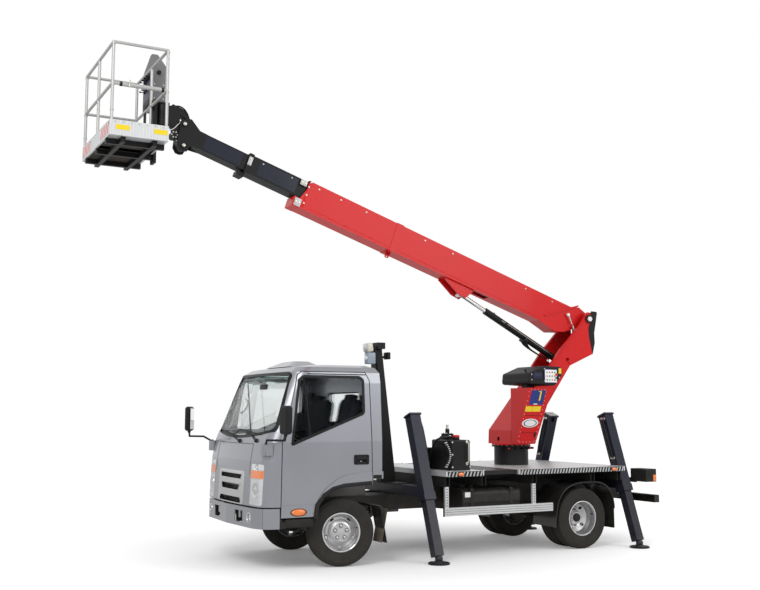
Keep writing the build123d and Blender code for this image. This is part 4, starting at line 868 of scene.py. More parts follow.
def addMirror(bm, s, distance, turn, c):
    a = math.radians(turn)
    back = Vector((-math.sin(a), math.cos(a), 0))
    m = frameAt(at(s * c["x"], distance, c["z"]) + back * c["back"], back)
    addBlock(bm, m, c["glass"], 0.0035, 2, 0)
    addBlock(bm, shift(m, 0, 0, -0.004), c["frame"], 0.0035, 2, 1)
    addTurned(bm, frameAt(at(s * c["x"], distance, c["jointZ"]), topOut, frontOut), c["joint"], 24, 1)
    addTurned(bm, frameAt(at(s * c["footX"], c["footD"], c["footZ"]), topOut, frontOut), c["foot"], 24, 1)


bm = bmesh.new()
for s, distance, turn in mirrorSet["heads"]:
    addMirror(bm, s, distance, turn, mirrorSet)
done("mirrorDetails", bm, ["mirrorGlass", "blackPlastic"], "cab")

bm = bmesh.new()
bm.from_mesh(nodes["mirrors"].data)
bmesh.ops.remove_doubles(bm, verts=bm.verts[:], dist=1e-5)
bmesh.ops.bisect_plane(bm, geom=bm.verts[:] + bm.edges[:] + bm.faces[:], plane_no=topOut, clear_outer=True,
                       plane_co=(0, 0, mirrorSet["fairingTop"]))
bmesh.ops.delete(bm, geom=[v for v in bm.verts if not v.link_faces], context="VERTS")
for v in bm.verts:
    v.co += v.normal * mirrorSet["skin"]
done("mirrorFairings", bm, ["cabSilver"], "cab")
print("cab front made")

# Doors and wheel arches; outlines by distance and height
doorSet = {
    "window": [(-0.712, 1.372), (0.212, 1.725), (0.212, 2.118), (0.165, 2.158), (-0.560, 2.158),
               (-0.612, 2.110)],
    "windowGrow": -0.006, "windowCorner": 0.045, "rubber": 0.030, "rubberThick": 0.011, "skin": 0.0035,
    "channel": ((-0.475, 1.46, 1.468), (-0.545, 2.15, 2.150)), "channelThick": 0.009, "sunk": 0.010,
    "archDoor": [(-0.390, 0.560), (-0.372, 0.700), (-0.300, 0.800), (-0.190, 0.866), (-0.060, 0.895),
                 (0.297, 0.914)],
    "archCab": [(0.311, 0.980), (0.420, 0.980)], "archX": 0.930, "moulding": 0.046, "mouldingDeep": 0.034,
    "gaps": (((0.305, 0.93), (0.305, 1.90)), ((0.305, 1.90), (0.290, 2.110)),
             ((-0.820, 0.62), (-0.820, 1.41))),
    "gap": 0.0055, "x": 0.950, "handle": (0.161, 1.203), "bezel": (0.096, 0.056), "bezelX": 0.9565,
    "bezelCorner": 0.022, "bezelWide": 0.032, "bezelThick": 0.007, "recess": (0.132, 0.080, 0.004),
    "lever": (0.150, 0.030, 0.016), "lock": [(0.0, 0.006), (0.009, 0.0055), (0.0105, 0.003), (0.011, 0.0)],
    "marker": (-0.616, 0.641), "markerX": 0.9455, "markerStretch": (1.36, 0.58, 1, 1),
    "lens": [(0.0, 0.022), (0.025, 0.0215), (0.045, 0.018), (0.058, 0.011), (0.064, 0.002), (0.066, 0.0)],
    "lensRim": [(0.066, -0.001), (0.066, 0.005), (0.072, 0.005), (0.074, 0.0)],
    # the cab's half width by height
    "widths": ((0.586, 0.945), (1.2, 0.950), (1.41, 0.950), (2.08, 0.905), (2.2, 0.885)),
}


def sideX(z):
    rows = doorSet["widths"]
    for (z0, x0), (z1, x1) in zip(rows, rows[1:]):
        if z <= z1:
            return x0 + (x1 - x0) * (z - z0) / (z1 - z0)
    return rows[-1][1]


def roundedRing(points, inset, radius):
    # an outline brought inwards, its corners rounded in a few parts
    parts = 5
    flat = [Vector(p) for p in points]
    count = len(flat)
    moved = []
    for i in range(count):
        a = (flat[i] - flat[i - 1]).normalized()
        b = (flat[(i + 1) % count] - flat[i]).normalized()
        acrossA = Vector((-a.y, a.x))
        acrossB = Vector((-b.y, b.x))
        moved.append(flat[i] + (acrossA + acrossB) * inset / (1 + acrossA.dot(acrossB)))
    ring = []
    for i in range(count):
        back = moved[i - 1] - moved[i]
        forth = moved[(i + 1) % count] - moved[i]
        r = min(radius, back.length * 0.42, forth.length * 0.42)
        start = moved[i] + back.normalized() * r
        end = moved[i] + forth.normalized() * r
        for k in range(parts + 1):
            t = k / parts
            ring.append(start * (1 - t) ** 2 + moved[i] * 2 * t * (1 - t) + end * t * t)
    return ring


def addArch(bm, s, points, slotIndex):
    # the moulding over the wheel arch
    outer = []
    for i, (d, z) in enumerate(points):
        a = Vector(points[max(0, i - 1)])
        b = Vector(points[min(len(points) - 1, i + 1)])
        t = (b - a).normalized()
        outer.append((d - t.y * doorSet["moulding"], z + t.x * doorSet["moulding"]))
    outline = [(d * s, z) for d, z in list(points) + list(reversed(outer))]
    addOutline(bm, facing(s * doorSet["archX"], 0, 0, (s, 0, 0)), outline, doorSet["mouldingDeep"],
               0.005, slotIndex)


def onSide(s, d, widthAt, z, c):
    # a point just under the cab's side
    return Vector((s * (sideX(widthAt) - c["sunk"]), behind(d), z))


def addDoorRubber(bm, s, c):
    # window rubber, the channel before the pane, the arch moulding and the gap round the door
    window = roundedRing(c["window"], c["windowGrow"], c["windowCorner"])
    ring = [at(s * c["x"], p.x, p.y) for p in window]
    addBand(bm, ring, c["rubber"], c["rubberThick"], (-s, 0, 0), None,
            lambda p: Vector((s * (sideX(p.z) + c["skin"]), p.y, p.z)))
    foot, head = [onSide(s, *place, c) for place in c["channel"]]
    addRod(bm, foot, head, c["channelThick"], 8, 0)
    addArch(bm, s, c["archDoor"], 1)
    for a, b in c["gaps"]:
        addRod(bm, onSide(s, a[0], a[1], a[1], c), onSide(s, b[0], b[1], b[1], c), c["gap"], 8, 0)


def addDoorHandle(bm, s, c):
    # bezel round the recess, lever, lock and the marker lamp
    d, z = c["handle"]
    half, tall = c["bezel"]
    corner = [(d - half, z - tall), (d + half, z - tall), (d + half, z + tall), (d - half, z + tall)]
    ring = [at(s * c["bezelX"], p.x, p.y) for p in roundedRing(corner, 0.0, c["bezelCorner"])]
    addBand(bm, ring, c["bezelWide"], c["bezelThick"], (-s, 0, 0))
    m = facing(s * c["x"], d, z, (s, 0, 0))
    addBlock(bm, shift(m, 0, 0, -0.019), c["recess"], 0.001, 1, 0)
    addBlock(bm, shift(m, -0.004 * s, 0.012, 0.002), c["lever"], 0.006, 3, 0)
    addTurned(bm, shift(m, 0.0, -0.024, -0.016), c["lock"], 20, 1)
    m = facing(s * c["markerX"], *c["marker"], (s, 0, 0)) @ Matrix.Diagonal(c["markerStretch"])
    addTurned(bm, m, c["lens"], 40, 2)
    addTurned(bm, m, c["lensRim"], 40, 0)


for side, s in sideSign.items():
    bm = bmesh.new()
    addDoorRubber(bm, s, doorSet)
    done("doorRubber_" + side, bm, ["blackRubber", "blackPlastic"], "door_" + side, sharp=30)
    bm = bmesh.new()
    addDoorHandle(bm, s, doorSet)
    finish = ["blackPlastic", "trimChrome", "lensOrange"]
    done("doorHandle_" + side, bm, finish, "door_" + side, sharp=40)

# Cab: arch mouldings behind the doors, roof drips and the rear window's rubber
cabSet = {
    "dripX": 0.893, "dripZ": 2.178, "dripFrom": -0.50, "dripTo": 0.24, "drip": 0.005, "rearD": 0.4385,
    "rearWindow": [(-0.45, 1.61), (0.45, 1.61), (0.45, 1.99), (-0.45, 1.99)], "grow": -0.014, "corner": 0.06,
    "rubber": 0.030, "thick": 0.010,
}
bm = bmesh.new()
for s in (1, -1):
    addArch(bm, s, doorSet["archCab"], 0)
    ends = [at(s * cabSet["dripX"], cabSet[key], cabSet["dripZ"]) for key in ("dripFrom", "dripTo")]
    addRod(bm, ends[0], ends[1], cabSet["drip"], 8, 0)
window = roundedRing(cabSet["rearWindow"], cabSet["grow"], cabSet["corner"])
addBand(bm, [at(p.x, cabSet["rearD"], p.y) for p in window], cabSet["rubber"], cabSet["thick"], frontOut)
done("cabRubber", bm, ["blackPlastic"], "cab")
print("doors made")

# Dark skins, ribs and bolts of the flaps behind the wheels; flaps by place, width, height and lean
flapSet = {
    "flaps": ((0.815, 0.468, 0.44, 0.225, 0.390, -0.20), (0.740, 3.873, 0.385, 0.430, 0.280, 0.0)),
    "gap": 0.009,
    "thick": 0.004, "ribs": 5, "rib": 0.010, "ribShare": 0.94,
}


def addFlap(bm, s, x, d, z, wide, high, lean, c):
    m = facing(s * x, d + c["gap"], z, (0, 1, lean))
    addBlock(bm, m, (wide, high, c["thick"]), 0.0015, 2)
    for i in range(c["ribs"]):
        rib = (c["rib"], high * c["ribShare"], c["thick"])
        addBlock(bm, shift(m, wide * (-0.4 + 0.2 * i), 0, 0.003), rib, 0.0015, 1)
    for i in (-1, 0, 1):
        addBolt(bm, shift(m, wide * 0.36 * i, high * 0.45, 0.002), 0.008, 0.006, 1)


bm = bmesh.new()
for s in (1, -1):
    for row in flapSet["flaps"]:
        addFlap(bm, s, *row, flapSet)
done("flapSkins", bm, ["flapRubber", "zincBolt"], "chassis")

# Deck edges: a trim with bright slanting studs, orange markers, and bolts along the plates
deckSet = {
    "edge": 1.050, "z": 1.005, "runs": ((1.262, 1.762), (2.32, 3.98)), "pitch": 0.046, "trim": (0.066, 0.004),
    "stud": [(-0.020, -0.028), (0.000, -0.028), (0.020, 0.028), (0.000, 0.028)], "studThick": 0.003,
    "markers": (1.443, 3.813), "markerStretch": (1.5, 0.8, 1, 1),
    "base": [(0.034, 0.0), (0.034, 0.006), (0.029, 0.010), (0.0, 0.0105)],
    "lens": [(0.028, 0.009), (0.026, 0.016), (0.016, 0.021), (0.0, 0.0225)],
    "boltX": 1.018, "boltFrom": 0.06, "boltPitch": 0.24, "boltZ": 1.0401,
}


def addDeckEdge(bm, s, c):
    for low, high in c["runs"]:
        long = high - low
        addBlock(bm, facing(s * (c["edge"] + 0.002), (low + high) / 2, c["z"], (s, 0, 0)), (long, *c["trim"]),
                 0.0015, 1, 0)
        count = int(long / c["pitch"])
        for i in range(count):
            m = facing(s * (c["edge"] + 0.003), low + (i + 0.5) * long / count, c["z"], (s, 0, 0))
            addOutline(bm, m, c["stud"], c["studThick"], 0.0, 1)
    for d in c["markers"]:
        m = facing(s * (c["edge"] + 0.004), d, c["z"], (s, 0, 0)) @ Matrix.Diagonal(c["markerStretch"])
        addTurned(bm, m, c["base"], 28, 3)
        addTurned(bm, m, c["lens"], 28, 2)
    for low, high in c["runs"]:
        for i in range(int((high - low) / c["boltPitch"]) + 1):
            place = (s * c["boltX"], low + c["boltFrom"] + c["boltPitch"] * i, c["boltZ"])
            addBolt(bm, facing(*place, topOut), 0.009, 0.006, 4)


bm = bmesh.new()
for s in (1, -1):
    addDeckEdge(bm, s, deckSet)
finish = ["blackPlastic", "capGrey", "lensOrange", "blackRubber", "zincBolt"]
done("deckTrim", bm, finish, "chassis")

# Oil tank: filler, level glass, hand pump, its hoses and a corrugated hose; the label stays blank
tankSet = {
    "cap": (0.790, 1.550), "capZ": 1.4195, "capGripZ": 1.445, "grips": 14, "gripRing": 0.039,
    "grip": (0.004, 0.026, 0.004),
    "capShape": [(0.030, 0), (0.030, 0.012), (0.039, 0.012), (0.039, 0.040), (0.034, 0.046), (0.0, 0.047)],
    "levelTube": [(0.892, 1.640, 1.120), (0.925, 1.640, 1.125), (0.928, 1.640, 1.170), (0.928, 1.640, 1.330),
                  (0.925, 1.640, 1.375), (0.892, 1.640, 1.380)],
    "levelEnds": (1.120, 1.380), "levelEnd": [(0.020, 0), (0.020, 0.005), (0.012, 0.008), (0.0, 0.008)],
    "sideBolts": [(0.8895, d, z) for d, z in (
        (1.43, 1.08), (1.43, 1.38), (1.682, 1.08), (1.682, 1.38), (1.43, 1.23))],
    "pumpBolts": [(x, d, 1.4795) for d in (1.505, 1.575) for x in (0.565, 0.635)],
    "knobPlace": (0.600, 1.540, 1.5355), "knob": [
        (0.021, 0), (0.021, 0.010), (0.013, 0.012), (0.013, 0.034), (0.017, 0.036), (0.017, 0.050),
        (0.0, 0.052)],
    "unions": ((0.652, leftOut), (0.545, (-1, 0, 0))), "union": [
        (0.020, 0), (0.020, 0.014), (0.014, 0.016), (0.014, 0.030), (0.0, 0.030)],
    "outerHose": [(0.680, 1.540, 1.440), (0.745, 1.535, 1.442), (0.760, 1.450, 1.440), (0.755, 1.340, 1.430),
                  (0.700, 1.290, 1.390), (0.560, 1.330, 1.250), (0.440, 1.380, 1.130), (0.395, 1.400, 1.060)],
    "innerHose": [(0.516, 1.540, 1.440), (0.450, 1.545, 1.440), (0.385, 1.560, 1.420), (0.370, 1.570, 1.300),
                  (0.370, 1.575, 1.150), (0.370, 1.580, 1.045)],
    "ribbedHose": [(0.905, 1.325, 1.058), (0.905, 1.355, 1.15), (0.905, 1.385, 1.225), (0.905, 1.355, 1.30),
                   (0.905, 1.327, 1.385)],
    "rings": 25, "ring": [(0.014, -0.004), (0.018, -0.001), (0.018, 0.003), (0.014, 0.006)],
    "ringFoot": 1.075,
    "ringRise": 0.300, "ringBow": 0.060, "ringTurn": 3.1,
}
bm = bmesh.new()
x, d = tankSet["cap"]
addTurned(bm, facing(x, d, tankSet["capZ"], topOut), tankSet["capShape"], 28, 1)
for across, along in ringPoints(tankSet["gripRing"], tankSet["grips"]):
    m = facing(x + across, d + along, tankSet["capGripZ"], (across, along, 0))
    addBlock(bm, m, tankSet["grip"], 0.0015, 1, 1)
addHose(bm, route(*tankSet["levelTube"]), 0.0085, 0)
for z in tankSet["levelEnds"]:
    addTurned(bm, facing(0.8885, 1.640, z, leftOut), tankSet["levelEnd"], 20, 0)
addBolts(bm, tankSet["sideBolts"], leftOut, 0.008, 0.006, 0)
addBolts(bm, tankSet["pumpBolts"], topOut, 0.008, 0.008, 0)
addTurned(bm, facing(*tankSet["knobPlace"], topOut), tankSet["knob"], 24, 0)
for x, out in tankSet["unions"]:
    addTurned(bm, facing(x, 1.540, 1.440, out), tankSet["union"], 6, 0)
addHose(bm, route(*tankSet["outerHose"]), 0.014, 2)
addHose(bm, route(*tankSet["innerHose"]), 0.013, 2)
for i in range(tankSet["rings"] + 1):
    t = i / tankSet["rings"]
    turn = t * tankSet["ringTurn"]
    p = at(0.905, 1.325 + tankSet["ringBow"] * math.sin(turn), tankSet["ringFoot"] + tankSet["ringRise"] * t)
    addTurned(bm, frameAt(p, (0, 0.2 * math.cos(turn), 1)), tankSet["ring"], 20, 4 if i % 2 else 2)
addHose(bm, route(*tankSet["ribbedHose"]), 0.0145, 2)
finish = ["zincBolt", "signalRed", "blackRubber", "capGrey", "plateWhite"]
done("oilTankFittings", bm, finish, "chassis")

# Fuel tank: straps, cap and the blank label; tool box: lids, hinges and latches
boxTrimSet = {
    "straps": (1.70, 2.28), "strap": (0.050, 0.236, 0.004), "topStrap": (0.466, 0.050, 0.004),
    "capPlace": (0.660, 1.820, 0.8155), "cap": [
        (0.050, 0), (0.050, 0.010), (0.044, 0.012), (0.044, 0.030), (0.038, 0.036), (0.0, 0.037)],
    "label": (0.9012, 1.640, 0.745), "labelSize": (0.085, 0.060, 0.002), "lids": (1.735, 2.185),
    "lid": (0.400, 0.225, 0.005), "latch": (0.055, 0.030, 0.006),
    "hinges": (-0.14, 0.14), "hingeEnds": (-0.03, 0.03),
}
rightOut = (-1, 0, 0)
bm = bmesh.new()
for d in boxTrimSet["straps"]:
    addBlock(bm, facing(0.9025, d, 0.700, leftOut), boxTrimSet["strap"], 0.0015, 1, 0)
    addBlock(bm, facing(0.670, d, 0.8175, topOut), boxTrimSet["topStrap"], 0.0015, 1, 0)
    addBolt(bm, facing(0.9045, d, 0.785, leftOut), 0.009, 0.008, 0)
addTurned(bm, facing(*boxTrimSet["capPlace"], topOut), boxTrimSet["cap"], 28, 1)
addBlock(bm, facing(*boxTrimSet["label"], leftOut), boxTrimSet["labelSize"], 0.0008, 1, 2)
for d in boxTrimSet["lids"]:
    addBlock(bm, facing(-0.9022, d, 0.690, rightOut), boxTrimSet["lid"], 0.002, 2, 0)
    addBlock(bm, facing(-0.9062, d, 0.775, rightOut), boxTrimSet["latch"], 0.002, 2, 1)
    for e in boxTrimSet["hinges"]:
        start, end = [at(-0.906, d + e + half, 0.582) for half in boxTrimSet["hingeEnds"]]
        addRod(bm, start, end, 0.007, 12, 1)
done("tankAndBoxTrim", bm, ["frameBlack", "blackPlastic", "plateWhite"], "chassis")

# Side guards: black discs and strips as painted shade in the posts' holes and the rail's grooves, caps of the rail,
# bolts
guardSet = {
    "posts": (1.290, 2.570), "holes": 7, "holeX": 0.9855, "holeZ": 0.635, "holePitch": 0.032,
    "hole": [(0.0075, 0), (0.0075, 0.0015), (0.0, 0.0015)], "boltX": 1.0052, "boltRows": (0.535, 0.585),
    "grooves": (0.534, 0.560, 0.586), "groovePlace": (1.0056, 2.045), "groove": (1.590, 0.0035, 0.002),
    "caps": ((1.241, frontOut), (2.849, rearOut)), "capPlace": (0.990, 0.560), "cap": (0.034, 0.104, 0.004),
}


def addGuard(bm, s, c):
    for d in c["posts"]:
        # black discs on the posts: painted shade inside their holes
        for i in range(c["holes"]):
            addTurned(bm, facing(s * c["holeX"], d, c["holeZ"] + c["holePitch"] * i, (s, 0, 0)), c["hole"],
                      14, 1)
        addBolts(bm, [(s * c["boltX"], d, z) for z in c["boltRows"]], (s, 0, 0), 0.009, 0.007, 2)
    # black strips along the rail: painted shade in its grooves
    for z in c["grooves"]:
        addBlock(bm, facing(s * c["groovePlace"][0], c["groovePlace"][1], z, (s, 0, 0)), c["groove"], 0, 1, 1)
    for d, out in c["caps"]:
        addBlock(bm, facing(s * c["capPlace"][0], d, c["capPlace"][1], out), c["cap"], 0.0015, 2, 0)


bm = bmesh.new()
for s in (1, -1):
    addGuard(bm, s, guardSet)
done("guardDetails", bm, ["blackPlastic", "blackPlastic", "zincBolt"], "chassis")

# Outriggers: the cap on each housing with its bolts, the cylinder's two hoses and their clips
legSet = {
    "x": 0.600, "z": 1.700, "lean": math.atan2(0.6, 1.7), "places": ((1.04, -1), (4.08, 1)),
    "cap": (0.150, 0.150, 0.010), "boltSpread": 0.058, "boltLift": 0.0205,
    # the hoses: depth below the cap, sideways, outwards
    "hose": ((0.05, 0.030, 0.078), (0.12, 0.030, 0.098), (0.30, 0.032, 0.100), (0.50, 0.034, 0.098),
             (0.60, 0.034, 0.082)),
    "hoseGap": 0.030, "hoseThick": 0.0085, "clips": (0.05, 0.60), "clipSide": 0.016, "clipOut": 0.074,
    "clip": (0.075, 0.030, 0.020),
}


def addLegTop(bm, s, distance, rear, c):
    up = Vector((-s * math.sin(c["lean"]), 0, math.cos(c["lean"])))
    top = at(s * c["x"], distance, c["z"])
    m = frameAt(top, up)
    addBlock(bm, shift(m, 0, 0, 0.016), c["cap"], 0.003, 2, 0)
    addBolt(bm, shift(m, 0, 0, c["boltLift"]), 0.020, 0.016, 1)
    for a, b in ((1, 1), (1, -1), (-1, 1), (-1, -1)):
        addBolt(bm, shift(m, c["boltSpread"] * a, c["boltSpread"] * b, c["boltLift"]), 0.008, 0.006, 1)
    run = [top - up * t + Vector((s * side, rear * -out, 0)) for t, side, out in c["hose"]]
    addHose(bm, run, c["hoseThick"], 2)
    addHose(bm, [p + Vector((-s * c["hoseGap"], 0, 0)) for p in run], c["hoseThick"], 2)
    for t in c["clips"]:
        p = top - up * t + Vector((s * c["clipSide"], rear * -c["clipOut"], 0))
        addBlock(bm, frameAt(p, (0, -rear, 0)), c["clip"], 0.003, 2, 1)


bm = bmesh.new()
for s in (1, -1):
    for distance, rear in legSet["places"]:
        addLegTop(bm, s, distance, rear, legSet)
done("legTops", bm, ["capGrey", "zincBolt", "blackRubber"], "chassis")

# Foot pads: a rubber ring, a ribbed top and the collar round the ball
padSet = {
    "x": 1.2, "places": {"front": 1.04, "rear": 4.08}, "ribs": 10, "ribRing": 0.086,
    "rib": (0.042, 0.008, 0.008),
    "ring": [(0.124, 0.004), (0.1275, 0.006), (0.1275, 0.016), (0.122, 0.022), (0.112, 0.0225),
             (0.110, 0.0195)],
    "collar": [(0.056, 0.019), (0.056, 0.028), (0.050, 0.036), (0.047, 0.036)],
}
for corner in corners:
    end, side = corner.split("_")
    x, d = sideSign[side] * padSet["x"], padSet["places"][end]
    bm = bmesh.new()
    addTurned(bm, facing(x, d, 0, topOut), padSet["ring"], 48, 0)
    for across, along in ringPoints(padSet["ribRing"], padSet["ribs"]):
        turn = Matrix.Rotation(math.atan2(along, across), 4, "Z")
        addBlock(bm, facing(x + across, d + along, 0.022, topOut) @ turn, padSet["rib"], 0.002, 1, 0)
    addTurned(bm, facing(x, d, 0, topOut), padSet["collar"], 40, 1)
    done("padRing_" + corner, bm, ["blackRubber", "frameBlack"], "leg_" + corner)

# Mast over the cab's rear: the two lamps, their brackets and wires
mastSet = {
    # blocks: place, outward direction, size, bevel, its steps, finish
    "blocks": (
        ((0.090, 0.690, 2.555), (0, -1, -0.15), (0.145, 0.115, 0.085), 0.020, 4, 0),
        ((0.090, 0.745, 2.560), rearOut, (0.050, 0.060, 0.060), 0.008, 2, 2),
        ((0.085, 0.720, 2.420), frontOut, (0.100, 0.150, 0.120), 0.018, 4, 3),
        ((0.075, 0.790, 2.460), rearOut, (0.070, 0.200, 0.030), 0.004, 2, 2),
        ((0.020, 1.000, 2.460), rearOut, (0.110, 0.090, 0.050), 0.010, 3, 2)),
    "upperLens": [(0.050, 0), (0.050, 0.010), (0.044, 0.014), (0.0, 0.020)],
    "lowerLens": [(0.040, 0), (0.040, 0.006), (0.034, 0.009), (0.0, 0.012)],
    "lowerPlace": (0.085, 0.661, 2.420),
    "pipe": ((0.020, 0.900, 2.430), (0.020, 0.985, 2.455)),
    "wire": [(0.060, 0.780, 2.500), (0.075, 0.820, 2.400), (0.070, 0.850, 2.200), (0.072, 0.870, 1.900),
             (0.070, 0.890, 1.600), (0.070, 0.900, 1.400)],
}
bm = bmesh.new()
for place, out, size, bevel, steps, slotIndex in mastSet["blocks"]:
    addBlock(bm, facing(*place, out), size, bevel, steps, slotIndex)
upperPlace, upperOut = mastSet["blocks"][0][:2]
addTurned(bm, shift(facing(*upperPlace, upperOut), 0, 0, 0.040), mastSet["upperLens"], 32, 1)
addTurned(bm, facing(*mastSet["lowerPlace"], frontOut), mastSet["lowerLens"], 32, 1)
start, end = route(*mastSet["pipe"])
addRod(bm, start, end, 0.014, 16, 2)
addHose(bm, route(*mastSet["wire"]), 0.006, 2)
done("mastLamps", bm, ["mastCream", "lampClear", "blackPlastic", "mastBlue"], "chassis")

# Tail lamps with ribbed lenses, side slats, the tow beam's red plates and the number plate left blank
tailSet = {
    "lenses": ((0.775, 0.090, 0), (0.860, 0.070, 1), (0.938, 0.066, 2)), "d": 4.5905, "z": 0.900,
    "tall": 0.120,
    "ribs": 5, "ribPitch": 0.023, "sideX": 1.0012, "sideLens": (0.050, 0.085, 0.006),
    "slat": (0.110, 0.018, 0.006),
    "slatPitch": 0.035, "beamPlate": (0.100, 0.050, 0.004), "beamPlace": (0.84, 4.6315, 0.590),
    "platePlace": (0, 4.6325, 0.590), "plate": (0.440, 0.095, 0.003),
}


def addTailLamps(bm, s, c):
    for x, wide, slotIndex in c["lenses"]:
        m = facing(s * x, c["d"], c["z"], rearOut)
        addBlock(bm, m, (wide, c["tall"], 0.008), 0.003, 2, slotIndex)
        for k in range(c["ribs"]):
            rib = (wide * 0.9, 0.006, 0.003)
            addBlock(bm, shift(m, 0, -0.046 + c["ribPitch"] * k, 0.005), rib, 0.001, 1, slotIndex)
    addBlock(bm, facing(s * c["sideX"], 4.560, 0.865, (s, 0, 0)), c["sideLens"], 0.003, 2, 1)
    for k in range(3):
        addBlock(bm, facing(s * c["sideX"], 4.460, 0.865 + c["slatPitch"] * k, (s, 0, 0)), c["slat"], 0.003,
                 2, 4)
    x, d, z = c["beamPlace"]
    addBlock(bm, facing(s * x, d, z, rearOut), c["beamPlate"], 0.001, 1, 0)


bm = bmesh.new()
for s in (1, -1):
    addTailLamps(bm, s, tailSet)
addBlock(bm, facing(*tailSet["platePlace"], rearOut), tailSet["plate"], 0.002, 2, 3)
finish = ["tailRed", "lensOrange", "lampClear", "capGrey", "blackPlastic"]
done("tailLenses", bm, finish, "chassis")

# Pedestal: bolts round the ring, hose fittings with caps
pedestalSet = {
    "d": 2.93, "boltRing": 0.246, "bolts": 22, "boltZ": 1.2995, "fittings": 9, "fromTurn": -62,
    "turnStep": 21,
    "fittingRing": 0.262, "fittingZ": 1.262,
    "fitting": [(0.0, -0.030), (0.012, -0.030), (0.012, 0.012), (0.016, 0.014), (0.016, 0.030), (0.0, 0.030)],
    "cap": [(0.011, 0), (0.011, 0.016), (0.008, 0.020), (0.0, 0.021)],
}
bm = bmesh.new()
ring = ringPoints(pedestalSet["boltRing"], pedestalSet["bolts"])
addBolts(bm, [(x, pedestalSet["d"] + y, pedestalSet["boltZ"]) for x, y in ring], topOut, 0.0085, 0.008, 0)
for i in range(pedestalSet["fittings"]):
    turn = math.radians(pedestalSet["fromTurn"] + pedestalSet["turnStep"] * i)
    out = (math.cos(turn), math.sin(turn), 0)
    reach = pedestalSet["fittingRing"]
    m = facing(reach * out[0], pedestalSet["d"] + reach * out[1], pedestalSet["fittingZ"], out)
    addTurned(bm, m, pedestalSet["fitting"], 6, 2)
    addTurned(bm, shift(m, 0, 0, 0.028), pedestalSet["cap"], 18, 1 if i % 3 == 1 else 2)
done("pedestalBolts", bm, ["zincBolt", "signalRed", "blackPlastic"], "chassis")
print("chassis details made")

# Valve box: plates, a blank oval, rivets round its door, seams and latch
boxSet = {
    "foot": 0.400, "footZ": 1.330, "slope": 0.300 / 0.730, "out": (0.925, 0, -0.380),
    # plates: distance, height, lift, size, finish; the last three are strips on the blue plate
    "plates": (
        (2.900, 1.935, 0.001, (0.225, 0.205, 0.003), 0), (2.805, 1.785, 0.001, (0.112, 0.075, 0.003), 1),
        (2.930, 1.785, 0.001, (0.130, 0.075, 0.003), 1), (2.940, 1.950, 0.003, (0.022, 0.120, 0.003), 1),
        (2.925, 2.012, 0.003, (0.040, 0.014, 0.003), 1), (2.890, 1.850, 0.003, (0.060, 0.014, 0.003), 2)),
    "oval": (2.876, 1.601), "ovalStretch": (2.1, 1.0, 1, 1),
    "rings": ((0.001, [(0.062, 0), (0.062, 0.002), (0.058, 0.003), (0.0, 0.003)], 2),
              (0.003, [(0.050, 0), (0.050, 0.0015), (0.0, 0.0015)], 0),
              (0.0045, [(0.042, 0), (0.042, 0.0015), (0.0, 0.0015)], 2)),
    "rivet": [(0.0065, 0), (0.0060, 0.003), (0.003, 0.0045), (0.0, 0.0045)],
    "rivets": [(d, 1.370 + i * 0.058) for i in range(12) for d in (2.748, 3.022)]
    + [(2.775 + i * 0.055, z) for i in range(5) for z in (1.352, 2.034)],
    "seams": ((2.885, 1.475), (2.885, 1.700)), "seam": (0.250, 0.004, 0.002), "latch": (0.030, 0.060, 0.012),
}


def onBox(d, z, lift=0.001):
    x = boxSet["foot"] + (z - boxSet["footZ"]) * boxSet["slope"]
    across, _, rise = boxSet["out"]
    return facing(x + across * lift, d, z + rise * lift, boxSet["out"])


bm = bmesh.new()
for d, z, lift, size, slotIndex in boxSet["plates"]:
    addBlock(bm, onBox(d, z, lift), size, 0.001, 1, slotIndex)
for lift, ring, slotIndex in boxSet["rings"]:
    addTurned(bm, onBox(*boxSet["oval"], lift) @ Matrix.Diagonal(boxSet["ovalStretch"]), ring, 40, slotIndex)
for d, z in boxSet["rivets"]:
    addTurned(bm, onBox(d, z), boxSet["rivet"], 12, 3)
for d, z in boxSet["seams"]:
    addBlock(bm, onBox(d, z), boxSet["seam"], 0, 1, 4)
addBlock(bm, onBox(2.995, 1.445), boxSet["latch"], 0.004, 3, 4)
finish = ["plateBlue", "plateYellow", "plateWhite", "zincBolt", "blackPlastic"]
done("valveBoxPlates", bm, finish, "turret")

# Control console: display, button panel, knobs and the blank label
consoleSet = {
    "display": (0.6925, 2.880, 2.222), "panel": (0.7005, 3.085, 2.215), "columns": 4, "rows": 3,
    "buttonFrom": (-0.066, 0.050), "buttonPitch": (0.042, 0.050), "buttonFinishes": (4, 5, 0),
    "button": [(0.009, 0), (0.009, 0.004), (0.006, 0.006), (0.0, 0.006)], "stopPlace": (0.7065, 3.165, 2.236),
    "stop": [(0.010, 0), (0.010, 0.010), (0.017, 0.012), (0.017, 0.022), (0.012, 0.027), (0.0, 0.028)],
    "key": [(0.011, 0), (0.011, 0.008), (0.006, 0.012), (0.0, 0.012)], "leverPlace": (0.560, 2.790, 2.262),
    "leverOut": (0, -0.36, 0.93),
    "lever": [(0.008, 0), (0.008, 0.020), (0.018, 0.026), (0.018, 0.036), (0.010, 0.044), (0.0, 0.045)],
    "bolts": [(0.7005, d, z) for d, z in (
        (2.775, 2.165), (2.775, 2.235), (2.985, 2.150), (2.985, 2.310), (3.225, 2.200), (3.225, 2.300))],
    "label": (0.7012, 3.238, 2.285), "labelSize": (0.044, 0.070, 0.002),
}
bm = bmesh.new()
m = facing(*consoleSet["display"], leftOut)
addBlock(bm, m, (0.176, 0.104, 0.003), 0.001, 1, 0)
addBlock(bm, shift(m, 0, 0.010, 0.002), (0.120, 0.052, 0.002), 0.001, 1, 1)
addBlock(bm, shift(m, 0, -0.030, 0.002), (0.130, 0.005, 0.002), 0, 1, 2)
m = facing(*consoleSet["panel"], leftOut)
addBlock(bm, m, (0.206, 0.180, 0.006), 0.0025, 3, 2)
